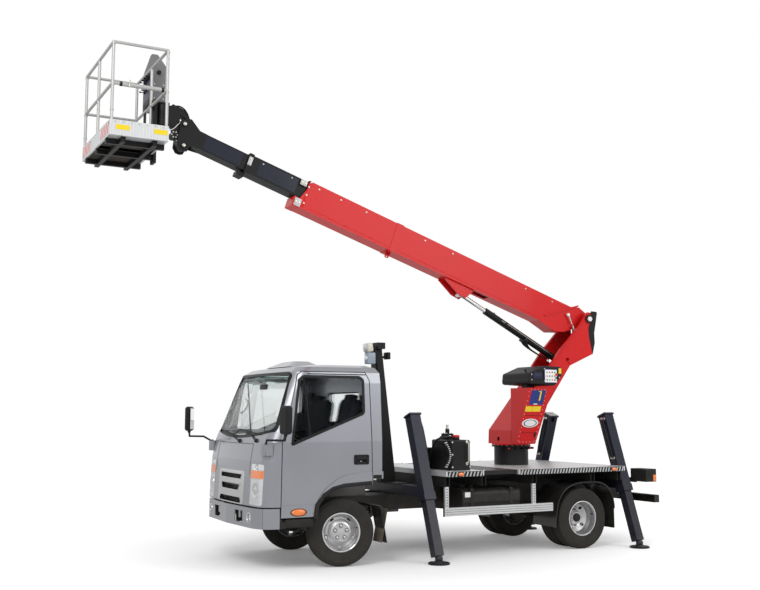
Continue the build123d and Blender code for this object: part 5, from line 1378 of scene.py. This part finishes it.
addBlock(bm, shift(m, 0, 0, 0.003), (0.192, 0.166, 0.006), 0.0025, 3, 3)
(x0, y0), (dx, dy) = consoleSet["buttonFrom"], consoleSet["buttonPitch"]
for i in range(consoleSet["columns"]):
    for j in range(consoleSet["rows"]):
        slotIndex = consoleSet["buttonFinishes"][(i + j) % 3]
        addTurned(bm, shift(m, x0 + dx * i, y0 - dy * j, 0.006), consoleSet["button"], 14, slotIndex)
m = facing(*consoleSet["stopPlace"], leftOut)
addTurned(bm, m, consoleSet["stop"], 24, 5)
addTurned(bm, shift(m, 0, -0.045, 0), consoleSet["key"], 20, 0)
addTurned(bm, facing(*consoleSet["leverPlace"], consoleSet["leverOut"]), consoleSet["lever"], 20, 0)
addBolts(bm, consoleSet["bolts"], leftOut, 0.006, 0.005, 6)
addBlock(bm, facing(*consoleSet["label"], leftOut), consoleSet["labelSize"], 0.0008, 1, 7)
finish = ["blackPlastic", "panelNavy", "plateBlue", "plateWhite", "buttonGreen", "signalRed", "zincBolt",
          "plateYellow"]
done("consolePanel", bm, finish, "turret")

# Column: the pivot's washers and nuts, foot bolts and the levelling cylinder
columnSet = {
    "pivotX": 0.214, "pivot": (4.160, 3.055), "footX": 0.2625, "rodLow": (0.155, 3.989, 2.774),
    "washer": [(0.062, 0), (0.062, 0.004), (0.050, 0.005), (0.050, 0.007), (0.0, 0.007)],
    "nut": [(0.038, 0), (0.038, 0.022), (0.032, 0.026), (0.0, 0.026)],
    "footBolts": ((2.80, 1.345), (2.90, 1.345), (3.00, 1.345), (3.10, 1.345), (2.80, 1.455), (3.10, 1.455)),
    "rodHigh": (0.155, 3.835, 3.107), "barrelShare": 0.55, "rodShare": 0.60, "eyeHalf": 0.018,
    "eye": [(0.0, 0), (0.022, 0), (0.022, 0.030), (0.014, 0.031), (0.0, 0.031)],
    "sideBolts": [(0.2005, d, z) for d, z in ((2.905, 1.92), (2.90, 2.02), (3.30, 2.30), (3.42, 2.45))],
}
bm = bmesh.new()
for s in (1, -1):
    m = facing(s * columnSet["pivotX"], *columnSet["pivot"], (s, 0, 0))
    addTurned(bm, m, columnSet["washer"], 36, 1)
    addTurned(bm, m, columnSet["nut"], 6, 0)
    addBolts(bm, [(s * columnSet["footX"], d, z) for d, z in columnSet["footBolts"]], (s, 0, 0), 0.012, 0.009,
             2)
low, high = route(columnSet["rodLow"], columnSet["rodHigh"])
addRod(bm, low, low + (high - low) * columnSet["barrelShare"], 0.015, 24, 3)
addRod(bm, low + (high - low) * columnSet["rodShare"], high, 0.0105, 20, 3)
for p in (low, high):
    addTurned(bm, frameAt(p - Vector((columnSet["eyeHalf"], 0, 0)), leftOut), columnSet["eye"], 24, 0)
addBolts(bm, columnSet["sideBolts"], leftOut, 0.010, 0.008, 2)
finish = ["plateWhite", "frameBlack", "zincBolt", "rodChrome", "blackRubber"]
done("columnFittings", bm, finish, "turret")

# Boom: places along it are across, u from its pivot, v up from its line
boomSet = {
    "pivotD": 4.160, "pivotZ": 3.055, "slope": math.radians(18.8),
    "guides": ((-0.244, 0.105), (0.020, 0.070)),
    "guideX": 0.1215, "mouthU": 4.640, "guideBolts": (-0.024, 0.024), "studX": 0.1200, "studV": 0.030,
    "studs": (0.62, 1.10, 2.35, 2.80, 3.72, 4.10, 4.42), "beads": 30, "beadX": 0.1195, "beadFrom": 0.75,
    "beadPitch": 0.125, "bead": 0.110, "beadV": -0.262, "strapU": 4.560, "strap": (0.030, 0.330, 0.006),
    "topStrap": (0.236, 0.030, 0.006), "stud": [(0.011, 0), (0.011, 0.005), (0.007, 0.008), (0.0, 0.008)],
}
alongBoom = (0, -math.cos(boomSet["slope"]), math.sin(boomSet["slope"]))
upBoom = (0, math.sin(boomSet["slope"]), math.cos(boomSet["slope"]))


def onBoom(x, u, v):
    c, s = math.cos(boomSet["slope"]), math.sin(boomSet["slope"])
    return at(x, boomSet["pivotD"] - u * c + v * s, boomSet["pivotZ"] + u * s + v * c)


def addBoomSide(bm, s, c):
    # guide blocks at the mouth, studs and weld beads along the section, the strap round it
    out = (s, 0, 0)
    for v, tall in c["guides"]:
        m = frameAt(onBoom(s * c["guideX"], c["mouthU"], v), out, upBoom)
        addBlock(bm, m, (0.090, tall, 0.012), 0.003, 2, 1)
        for a in c["guideBolts"]:
            addBolt(bm, shift(m, a, 0, 0.006), 0.010, 0.008, 2)
    for u in c["studs"]:
        addTurned(bm, frameAt(onBoom(s * c["studX"], u, c["studV"]), out), c["stud"], 18, 2)
    for i in range(c["beads"]):
        u = c["beadFrom"] + c["beadPitch"] * i
        start, end = [onBoom(s * c["beadX"], place, c["beadV"]) for place in (u, u + c["bead"])]
        addRod(bm, start, end, 0.004, 8, 0)
    addBlock(bm, frameAt(onBoom(s * 0.1205, c["strapU"], -0.110), out, upBoom), c["strap"], 0.002, 2, 0)
    for v in (-0.22, -0.11, 0.0):
        addBolt(bm, frameAt(onBoom(s * 0.1235, c["strapU"], v), out), 0.008, 0.007, 2)


bm = bmesh.new()
for s in (1, -1):
    addBoomSide(bm, s, boomSet)
m = frameAt(onBoom(0, boomSet["strapU"], 0.0815), upBoom, alongBoom)
addBlock(bm, m, boomSet["topStrap"], 0.002, 2, 0)
for x in (-0.07, 0.07):
    addBolt(bm, frameAt(onBoom(x, boomSet["strapU"], 0.0845), upBoom, alongBoom), 0.008, 0.007, 2)
done("boomFittings", bm, ["boomRed", "greySteel", "zincBolt"], "boom")

stageTrimSet = {
    "plateX": 0.0985, "plate": (0.535, 0.190, 0.0025), "padX": 0.1095, "pad": (0.052, 0.110, 0.008),
    "padBolts": (-0.030, 0.030), "studX": 0.0995, "studs": (4.80, 5.20),
    "stud": [(0.009, 0), (0.009, 0.005), (0.006, 0.007), (0.0, 0.007)],
}
bm = bmesh.new()
for s in (1, -1):
    out = (s, 0, 0)
    m = frameAt(onBoom(s * stageTrimSet["plateX"], 4.975, -0.052), out, upBoom)
    addBlock(bm, m, stageTrimSet["plate"], 0.001, 1, 0)
    m = frameAt(onBoom(s * stageTrimSet["padX"], 5.370, -0.020), out, upBoom)
    addBlock(bm, m, stageTrimSet["pad"], 0.002, 2, 1)
    for v in stageTrimSet["padBolts"]:
        addBolt(bm, shift(m, 0, v, 0.004), 0.008, 0.007, 2)
    for u in stageTrimSet["studs"]:
        addTurned(bm, frameAt(onBoom(s * stageTrimSet["studX"], u, 0.020), out), stageTrimSet["stud"], 16, 2)
done("midStageDetails", bm, ["legBlueBlack", "greySteel", "zincBolt"], "boom_mid")

# Boom tip: washers and nuts of the head pins, and its side plates
tipSet = {
    "pins": ((6.186, -0.199), (6.260, 0.050)), "pinX": 0.1045,
    "washer": [(0.030, 0), (0.030, 0.003), (0.0, 0.003)],
    "nut": [(0.022, 0.002), (0.022, 0.006), (0.019, 0.007), (0.0, 0.007)], "plate": (0.620, 0.170, 0.0025),
}
bm = bmesh.new()
for s in (1, -1):
    for u, v in tipSet["pins"]:
        m = frameAt(onBoom(s * tipSet["pinX"], u, v), (s, 0, 0))
        addTurned(bm, m, tipSet["washer"], 28, 1)
        addTurned(bm, m, tipSet["nut"], 6, 0)
    addBlock(bm, frameAt(onBoom(s * 0.0860, 5.780, -0.050), (s, 0, 0), upBoom), tipSet["plate"], 0.001, 1, 3)
finish = ["zincBolt", "frameBlack", "blackRubber", "legBlueBlack"]
done("boomTipFittings", bm, finish, "boom_tip")

# Jib: hoses that arch over it, white wires, motor bolts
jibSet = {
    "hoses": (-0.040, -0.014, 0.014, 0.040), "rise": 0.010, "motorRing": 0.034, "motor": (-1.860, 4.985),
    "whiteWires": (
        [(0.058, -1.690, 5.05), (0.0665, -1.700, 5.13), (0.0675, -1.745, 5.17), (0.0675, -1.810, 5.13),
         (0.0665, -1.880, 5.04), (0.058, -1.930, 5.03)],
        [(0.058, -1.740, 5.00), (0.0665, -1.735, 4.93), (0.0665, -1.790, 4.90), (0.058, -1.840, 4.92)]),
    "pin": [(0.024, 0), (0.024, 0.012), (0.018, 0.014), (0.0, 0.014)],
}


def jibRoute(x, rise):
    return route((x, -1.700, 5.00), (x, -1.672, 5.12), (x, -1.690, 5.24 + rise), (x, -1.760, 5.325 + rise),
                 (x, -1.850, 5.335 + rise), (x, -1.905, 5.300))


bm = bmesh.new()
for i, x in enumerate(jibSet["hoses"]):
    addHose(bm, jibRoute(x, jibSet["rise"] * (i % 2)), 0.009, 0)
for wire in jibSet["whiteWires"]:
    addHose(bm, route(*wire), 0.0045, 1)
d, z = jibSet["motor"]
addBolts(bm, [(0.0625, d + a, z + b) for a, b in ringPoints(jibSet["motorRing"], 6)], leftOut, 0.006, 0.005,
         2)
for s in (1, -1):
    addTurned(bm, facing(s * 0.063, -1.760, 4.860, (s, 0, 0)), jibSet["pin"], 24, 2)
done("jibHoses", bm, ["blackRubber", "plateWhite", "zincBolt"], "jib")

# Lift cylinder: pipes along the barrel, their clips, two collars, and the hose loops to the column
cylinderSet = {
    "base": (3.80, 2.44), "eye": (2.104, 3.347),
    # a pipe: distance along the barrel, across
    "pipe": ((0.16, 0.040), (0.20, 0.056), (0.60, 0.057), (1.10, 0.057), (1.16, 0.040)),
    "clips": (0.18, 0.62, 1.08), "clip": (0.022, 0.040, 0.018), "collars": (0.14, 1.30),
    "collar": [(0.0455, -0.006), (0.0490, -0.004), (0.0490, 0.004), (0.0455, 0.006)],
    "loops": (-0.050, -0.018, 0.016, 0.048), "sag": 0.012, "block": (0.060, 0.150, 0.040),
}


def loopRoute(x, sag):
    return route((x, 3.150, 2.745), (x, 3.175, 2.700), (x, 3.225, 2.655 - sag), (x, 3.330, 2.600 - sag),
                 (x, 3.450, 2.540 - sag), (x, 3.560, 2.500), (x, 3.640, 2.505))


bm = bmesh.new()
base, eye = route((0, *cylinderSet["base"]), (0, *cylinderSet["eye"]))
line = (eye - base).normalized()
for s in (1, -1):
    addHose(bm, [base + line * t + Vector((s * x, 0, 0)) for t, x in cylinderSet["pipe"]], 0.006, 1)
    for t in cylinderSet["clips"]:
        m = frameAt(base + line * t + Vector((s * 0.050, 0, 0)), (s, 0, 0), line)
        addBlock(bm, m, cylinderSet["clip"], 0.003, 2, 0)
for t in cylinderSet["collars"]:
    addTurned(bm, frameAt(base + line * t, line, leftOut), cylinderSet["collar"], 40, 0)
for i, x in enumerate(cylinderSet["loops"]):
    addHose(bm, loopRoute(x, cylinderSet["sag"] * i), 0.0095, 2)
m = frameAt(at(0, 3.170, 2.735), (0, -0.47, -0.88), leftOut)
addBlock(bm, m, cylinderSet["block"], 0.006, 2, 0)
done("barrelPipes", bm, ["frameBlack", "zincBolt", "blackRubber"], "lift_barrel")
print("turret and boom details made")

# Basket: blank yellow plates, red and white hatching, kick plate studs, dark sheets under the floor as painted shade
basketSet = {
    "side": 0.690, "front": -2.760, "yellow": (-2.618, -2.199), "yellowSize": (0.150, 0.055, 0.003),
    "hatchX": 0.450, "hatchZ": 4.805, "hatch": (0.400, 0.110, 0.002), "stripes": 5, "stripeFrom": -0.185,
    "stripePitch": 0.080, "stripe": ((0, -0.055), (0.036, -0.055), (0.070, 0.055), (0.034, 0.055)),
    "sideStuds": 7, "frontStuds": 13, "floor": ((-0.25, 0.86), (0.25, 0.40)),
}


def addBasketSide(bm, s, c):
    for d in c["yellow"]:
        addBlock(bm, facing(s * (c["side"] + 0.001), d, 4.812, (s, 0, 0)), c["yellowSize"], 0.001, 1, 0)
    m = facing(s * c["hatchX"], c["front"] - 0.001, c["hatchZ"], frontOut)
    addBlock(bm, m, c["hatch"], 0.0008, 1, 1)
    for i in range(c["stripes"]):
        x = c["stripeFrom"] + c["stripePitch"] * i
        addOutline(bm, shift(m, 0, 0, 0.001), [(x + a, b) for a, b in c["stripe"]], 0.0015, 0, 2)
    studs = [(s * (c["side"] + 0.0005), -2.700 + 0.088 * i, 4.870) for i in range(c["sideStuds"])]
    addBolts(bm, studs, (s, 0, 0), 0.006, 0.005, 3)


bm = bmesh.new()
for s in (1, -1):
    addBasketSide(bm, s, basketSet)
studs = [(-0.63 + 0.105 * i, basketSet["front"] - 0.0005, 4.876) for i in range(basketSet["frontStuds"])]
addBolts(bm, studs, frontOut, 0.006, 0.005, 3)
# dark sheets under the basket floor: painted shade
for x, wide in basketSet["floor"]:
    addBlock(bm, facing(x, -2.440, 4.7175, (0, 0, -1)), (wide, 0.600, 0.003), 0.001, 1, 4)
finish = ["plateYellow", "plateWhite", "signalRed", "zincBolt", "flapRubber"]
done("basketPlates", bm, finish, "basket")

# Basket rails: end caps and rings of the sliding bar, its catch, and clamps at the corners
railSet = {
    "barX": 0.668, "barZ": 5.300, "caps": ((-2.655, frontOut), (-2.180, rearOut)),
    "cap": [(0.0245, -0.020), (0.0265, -0.016), (0.0265, 0.004), (0.020, 0.010), (0.0, 0.010)],
    "ring": [(0.0235, -0.004), (0.0250, -0.002), (0.0250, 0.002), (0.0235, 0.004)],
    "catch": [(0.020, -0.010), (0.020, 0.006), (0.014, 0.010), (0.0, 0.011)], "catchX": 0.690,
    "catchD": -2.560,
    "clamps": [(x, d, z - 0.030) for x in (-0.668, 0.668)
               for d,
               z in ((-2.738, 5.300), (-2.738, 5.763), (-2.738, 5.02), (-2.132, 5.300), (-2.132, 5.763))],
    "clamp": [(0.0175, 0), (0.0215, 0.003), (0.0215, 0.020), (0.0175, 0.023)],
}
bm = bmesh.new()
for d, out in railSet["caps"]:
    addTurned(bm, facing(railSet["barX"], d, railSet["barZ"], out), railSet["cap"], 28, 1)
for i in range(4):
    addTurned(bm, facing(railSet["barX"], -2.600 + 0.125 * i, railSet["barZ"], rearOut), railSet["ring"], 28,
              0)
addTurned(bm, facing(railSet["catchX"], railSet["catchD"], 5.330, leftOut), railSet["catch"], 24, 2)
start, end = [at(railSet["catchX"], railSet["catchD"], z) for z in (5.310, 5.265)]
addRod(bm, start, end, 0.006, 12, 2)
for place in railSet["clamps"]:
    addTurned(bm, facing(*place, topOut), railSet["clamp"], 20, 0)
done("railFittings", bm, ["greySteel", "blackPlastic", "zincBolt"], "basket")

# Basket controls: navy panel with levers, coloured buttons, stop knob and two cables
controlSet = {
    "panel": (-0.330, -2.0905, 5.640), "panelSize": (0.390, 0.330, 0.004), "footSize": (0.390, 0.070, 0.006),
    "columns": 4, "rows": 2, "leverFrom": (-0.135, 0.085), "leverPitch": (0.090, 0.120),
    "boot": [(0.020, 0), (0.020, 0.006), (0.012, 0.012), (0.0, 0.012)],
    "lever": [(0.005, 0), (0.005, 0.030), (0.010, 0.036), (0.011, 0.050), (0.0, 0.055)],
    "button": [(0.013, 0), (0.013, 0.006), (0.017, 0.008), (0.017, 0.016), (0.0, 0.018)],
    "buttonFinishes": (2, 3, 4), "knobPlace": (-0.1195, -2.020, 5.763),
    "knob": [(0.010, 0), (0.010, 0.012), (0.025, 0.014), (0.025, 0.034), (0.018, 0.041), (0.0, 0.042)],
    "bolts": [(-0.1198, d, z) for z in (5.45, 5.62) for d in (-2.065, -1.955)], "cables": (0.012, 0.009),
}


def cableRoute(x):
    return route((x, -2.112, 5.390), (x, -2.132, 5.330), (x, -2.136, 5.200), (x + 0.02, -2.134, 5.050),
                 (x + 0.03, -2.130, 4.895))


bm = bmesh.new()
m = facing(*controlSet["panel"], frontOut)
addBlock(bm, m, controlSet["panelSize"], 0.0015, 2, 0)
addBlock(bm, shift(m, 0, -0.205, -0.001), controlSet["footSize"], 0.002, 2, 1)
(x0, y0), (dx, dy) = controlSet["leverFrom"], controlSet["leverPitch"]
for i in range(controlSet["columns"]):
    for j in range(controlSet["rows"]):
        place = shift(m, x0 + dx * i, y0 - dy * j, 0.002)
        addTurned(bm, place, controlSet["boot"], 20, 1)
        addTurned(bm, shift(place, 0, 0, 0.010), controlSet["lever"], 16, 1)
for i, slotIndex in enumerate(controlSet["buttonFinishes"]):
    addTurned(bm, shift(m, -0.10 + 0.10 * i, 0.140, 0.002), controlSet["button"], 20, slotIndex)
addTurned(bm, facing(*controlSet["knobPlace"], leftOut), controlSet["knob"], 28, 1)
addBolts(bm, controlSet["bolts"], leftOut, 0.006, 0.004, 5)
for i, radius in enumerate(controlSet["cables"]):
    addHose(bm, cableRoute(-0.275 + 0.050 * i), radius, 6)
finish = ["panelNavy", "blackPlastic", "signalRed", "buttonGreen", "plateYellow", "zincBolt", "blackRubber"]
done("controlPanel", bm, finish, "basket")
print("basket details made")

# Seats: padded cushions with rounded edges, stitched channels and a crown
seatSet = {
    "driver": {"x": 0.420, "wide": 0.500, "rest": 0, "channels": (-0.42, 0.42)},
    "bench": {"x": -0.430, "wide": 0.640, "rest": -0.08, "channels": (-0.62, -0.08, 0.46)},
    "lean": (0, -0.982, 0.190), "cushion": (0.470, 0.118), "back": (0.600, 0.105),
    "headRest": (0.260, 0.110, 0.075),
    "base": (0.360, 0.245), "restRods": (-0.07, 0.07),
}
cushionSet = {
    "cuts": 17, "power": 7, "stitch": 0.010, "channel": 0.055, "edgeAt": 0.80, "edge": 0.045, "fold": 0.0025,
}


def addCushion(bm, m, size, channels, crown, c=cushionSet):
    # a rounded pad whose upper face swells between its stitched channels
    part = bmesh.new()
    bmesh.ops.create_cube(part, size=2)
    bmesh.ops.subdivide_edges(part, edges=part.edges[:], cuts=c["cuts"], use_grid_fill=True)
    half = Vector(size) / 2
    for v in part.verts:
        p = v.co.copy()
        reach = sum(abs(a) ** c["power"] for a in p) ** (1 / c["power"])
        rounded = p * (max(abs(a) for a in p) / reach)
        v.co = Vector((rounded.x * half.x, rounded.y * half.y, rounded.z * half.z))
        if p.z > 0:
            swell = crown * (1 - p.x * p.x) * (1 - p.y * p.y)
            groove = sum(math.exp(-((p.x - channel) / c["channel"]) ** 2) for channel in channels)
            edge = math.exp(-((max(abs(p.x), abs(p.y)) - c["edgeAt"]) / c["edge"]) ** 2)
            dip = c["stitch"] * (groove * (1 - edge * 0.5) + 0.6 * edge) if p.z > 0.6 else 0
            fold = c["fold"] * math.sin(9 * p.x + 4 * p.y) * math.cos(7 * p.y - 3 * p.x)
            v.co.z += swell - dip + fold
    bmesh.ops.transform(part, matrix=m, verts=part.verts[:])
    joinInto(bm, part, 0)


def makeSeat(name, seat, c):
    x, wide = seat["x"], seat["wide"]
    restX = x + seat["rest"]
    bm = bmesh.new()
    addCushion(bm, facing(x, -0.020, 1.258, topOut), (wide, *c["cushion"]), seat["channels"], 0.004)
    addCushion(bm, facing(x, 0.238, 1.600, c["lean"]), (wide, *c["back"]), seat["channels"], 0.010)
    cloth = done("seatPads_" + name, bm, ["seatCloth"], "cab")
    bm = bmesh.new()
    addCushion(bm, facing(restX, 0.285, 1.900, c["lean"]), c["headRest"], (), 0.006)
    rest = done("headRest_" + name, bm, ["seatCloth"], "cab")
    bm = bmesh.new()
    addBlock(bm, facing(x, -0.020, 1.075, topOut), (wide - 0.100, *c["base"]), 0.015, 3, 0)
    for e in c["restRods"]:
        addRod(bm, at(restX + e, 0.284, 1.850), at(restX + e, 0.270, 1.800), 0.006, 12, 1)
    for e in (-1, 1):
        runner = x + e * (wide / 2 - 0.05)
        addRod(bm, at(runner, -0.200, 1.192), at(runner, 0.180, 1.192), 0.012, 12, 1)
    return done("seatBase_" + name, bm, ["blackPlastic", "zincBolt"], "cab")


makeSeat("driver", seatSet["driver"], seatSet)
lastSeat = makeSeat("bench", seatSet["bench"], seatSet)
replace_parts(lastSeat, "seats")

# Cab room: belts, visors, mirror, grab handle, dials, vents and levers
roomSet = {
    "belt": [(0.845, 0.330, 1.960), (0.830, 0.325, 1.700), (0.825, 0.300, 1.400), (0.800, 0.250, 1.150)],
    "beltWide": 0.046, "anchor": (0.842, 0.330, 1.965), "visor": (0.400, -0.640, 2.110),
    "visorSize": (0.420, 0.150, 0.014), "mirrorStem": ((0.157, -0.700, 2.135), (0.157, -0.725, 2.080)),
    "mirror": (0.157, -0.735, 2.040), "grab": [
        (-0.289, -0.800, 1.905), (-0.289, -0.775, 1.895), (-0.262, -0.765, 1.850), (-0.225, -0.830, 1.760),
        (-0.223, -0.868, 1.740), (-0.223, -0.885, 1.735)],
    "hoodPlace": (0.270, -0.640, 1.395), "hoodWide": 0.300,
    "hood": [(-0.150, 0.0), (0.020, 0.0), (0.010, 0.060), (-0.040, 0.085), (-0.120, 0.060)],
    "dials": (0.350, 0.490),
    "bezel": [(0.052, -0.006), (0.052, 0.004), (0.046, 0.004), (0.044, 0.001), (0.0, 0.001)],
    "dial": [(0.041, 0.001), (0.041, 0.003), (0.0, 0.003)], "vents": (-0.70, -0.45, 0.05, 0.72), "vanes": 4,
    "vaneZ": 1.335, "vanePitch": 0.016, "vane": (0.120, 0.006, 0.012),
    "gearStick": ((0.080, -0.560, 1.110), (0.080, -0.420, 1.300)),
    "knob": [(0.010, 0), (0.022, 0.012), (0.024, 0.030), (0.016, 0.042), (0.0, 0.045)],
    "boot": ((0.080, -0.640, 1.150), (0.080, -0.550, 1.110)),
}


def addBelt(bm, s, c):
    run = [at(s * x, d, z) for x, d, z in c["belt"]]
    for a, b in zip(run, run[1:]):
        m = frameAt((a + b) / 2, (-s, 0, 0), b - a)
        addBlock(bm, m, (c["beltWide"], (b - a).length + 0.004, 0.003), 0.001, 1, 0)
    x, d, z = c["anchor"]
    addBlock(bm, facing(s * x, d, z, (-s, 0, 0)), (0.060, 0.050, 0.030), 0.008, 3, 0)


bm = bmesh.new()
for s in (1, -1):
    addBelt(bm, s, roomSet)
    x, d, z = roomSet["visor"]
    addBlock(bm, frameAt(at(s * x, d, z), (0, -0.30, -1), rearOut), roomSet["visorSize"], 0.006, 3, 1)
start, end = route(*roomSet["mirrorStem"])
addRod(bm, start, end, 0.007, 12, 0)
m = facing(*roomSet["mirror"], (0, 1, -0.15))
addBlock(bm, m, (0.215, 0.062, 0.022), 0.010, 4, 0)
addBlock(bm, shift(m, 0, 0, 0.011), (0.200, 0.050, 0.002), 0.0008, 1, 2)
addHose(bm, route(*roomSet["grab"]), 0.011, 3)
addOutline(bm, facing(*roomSet["hoodPlace"], leftOut), roomSet["hood"], roomSet["hoodWide"], 0.006, 0)
for x in roomSet["dials"]:
    m = facing(x, -0.615, 1.425, (0, 1, 0.25))
    addTurned(bm, m, roomSet["bezel"], 32, 2)
    addTurned(bm, m, roomSet["dial"], 32, 0)
for x in roomSet["vents"]:
    for k in range(roomSet["vanes"]):
        m = facing(x, -0.646, roomSet["vaneZ"] + roomSet["vanePitch"] * k, (0, 1, 0.4))
        addBlock(bm, m, roomSet["vane"], 0.001, 1, 0)
start, end = route(*roomSet["gearStick"])
addRod(bm, start, end, 0.008, 16, 3)
addTurned(bm, frameAt(end, (0, 0.3, 1)), roomSet["knob"], 24, 0)
start, end = route(*roomSet["boot"])
addRod(bm, start, end, 0.020, 16, 0)
done("cabRoomDetails", bm, ["blackPlastic", "greyPlastic", "mirrorGlass", "capGrey"], "cab")
print("cab room made")
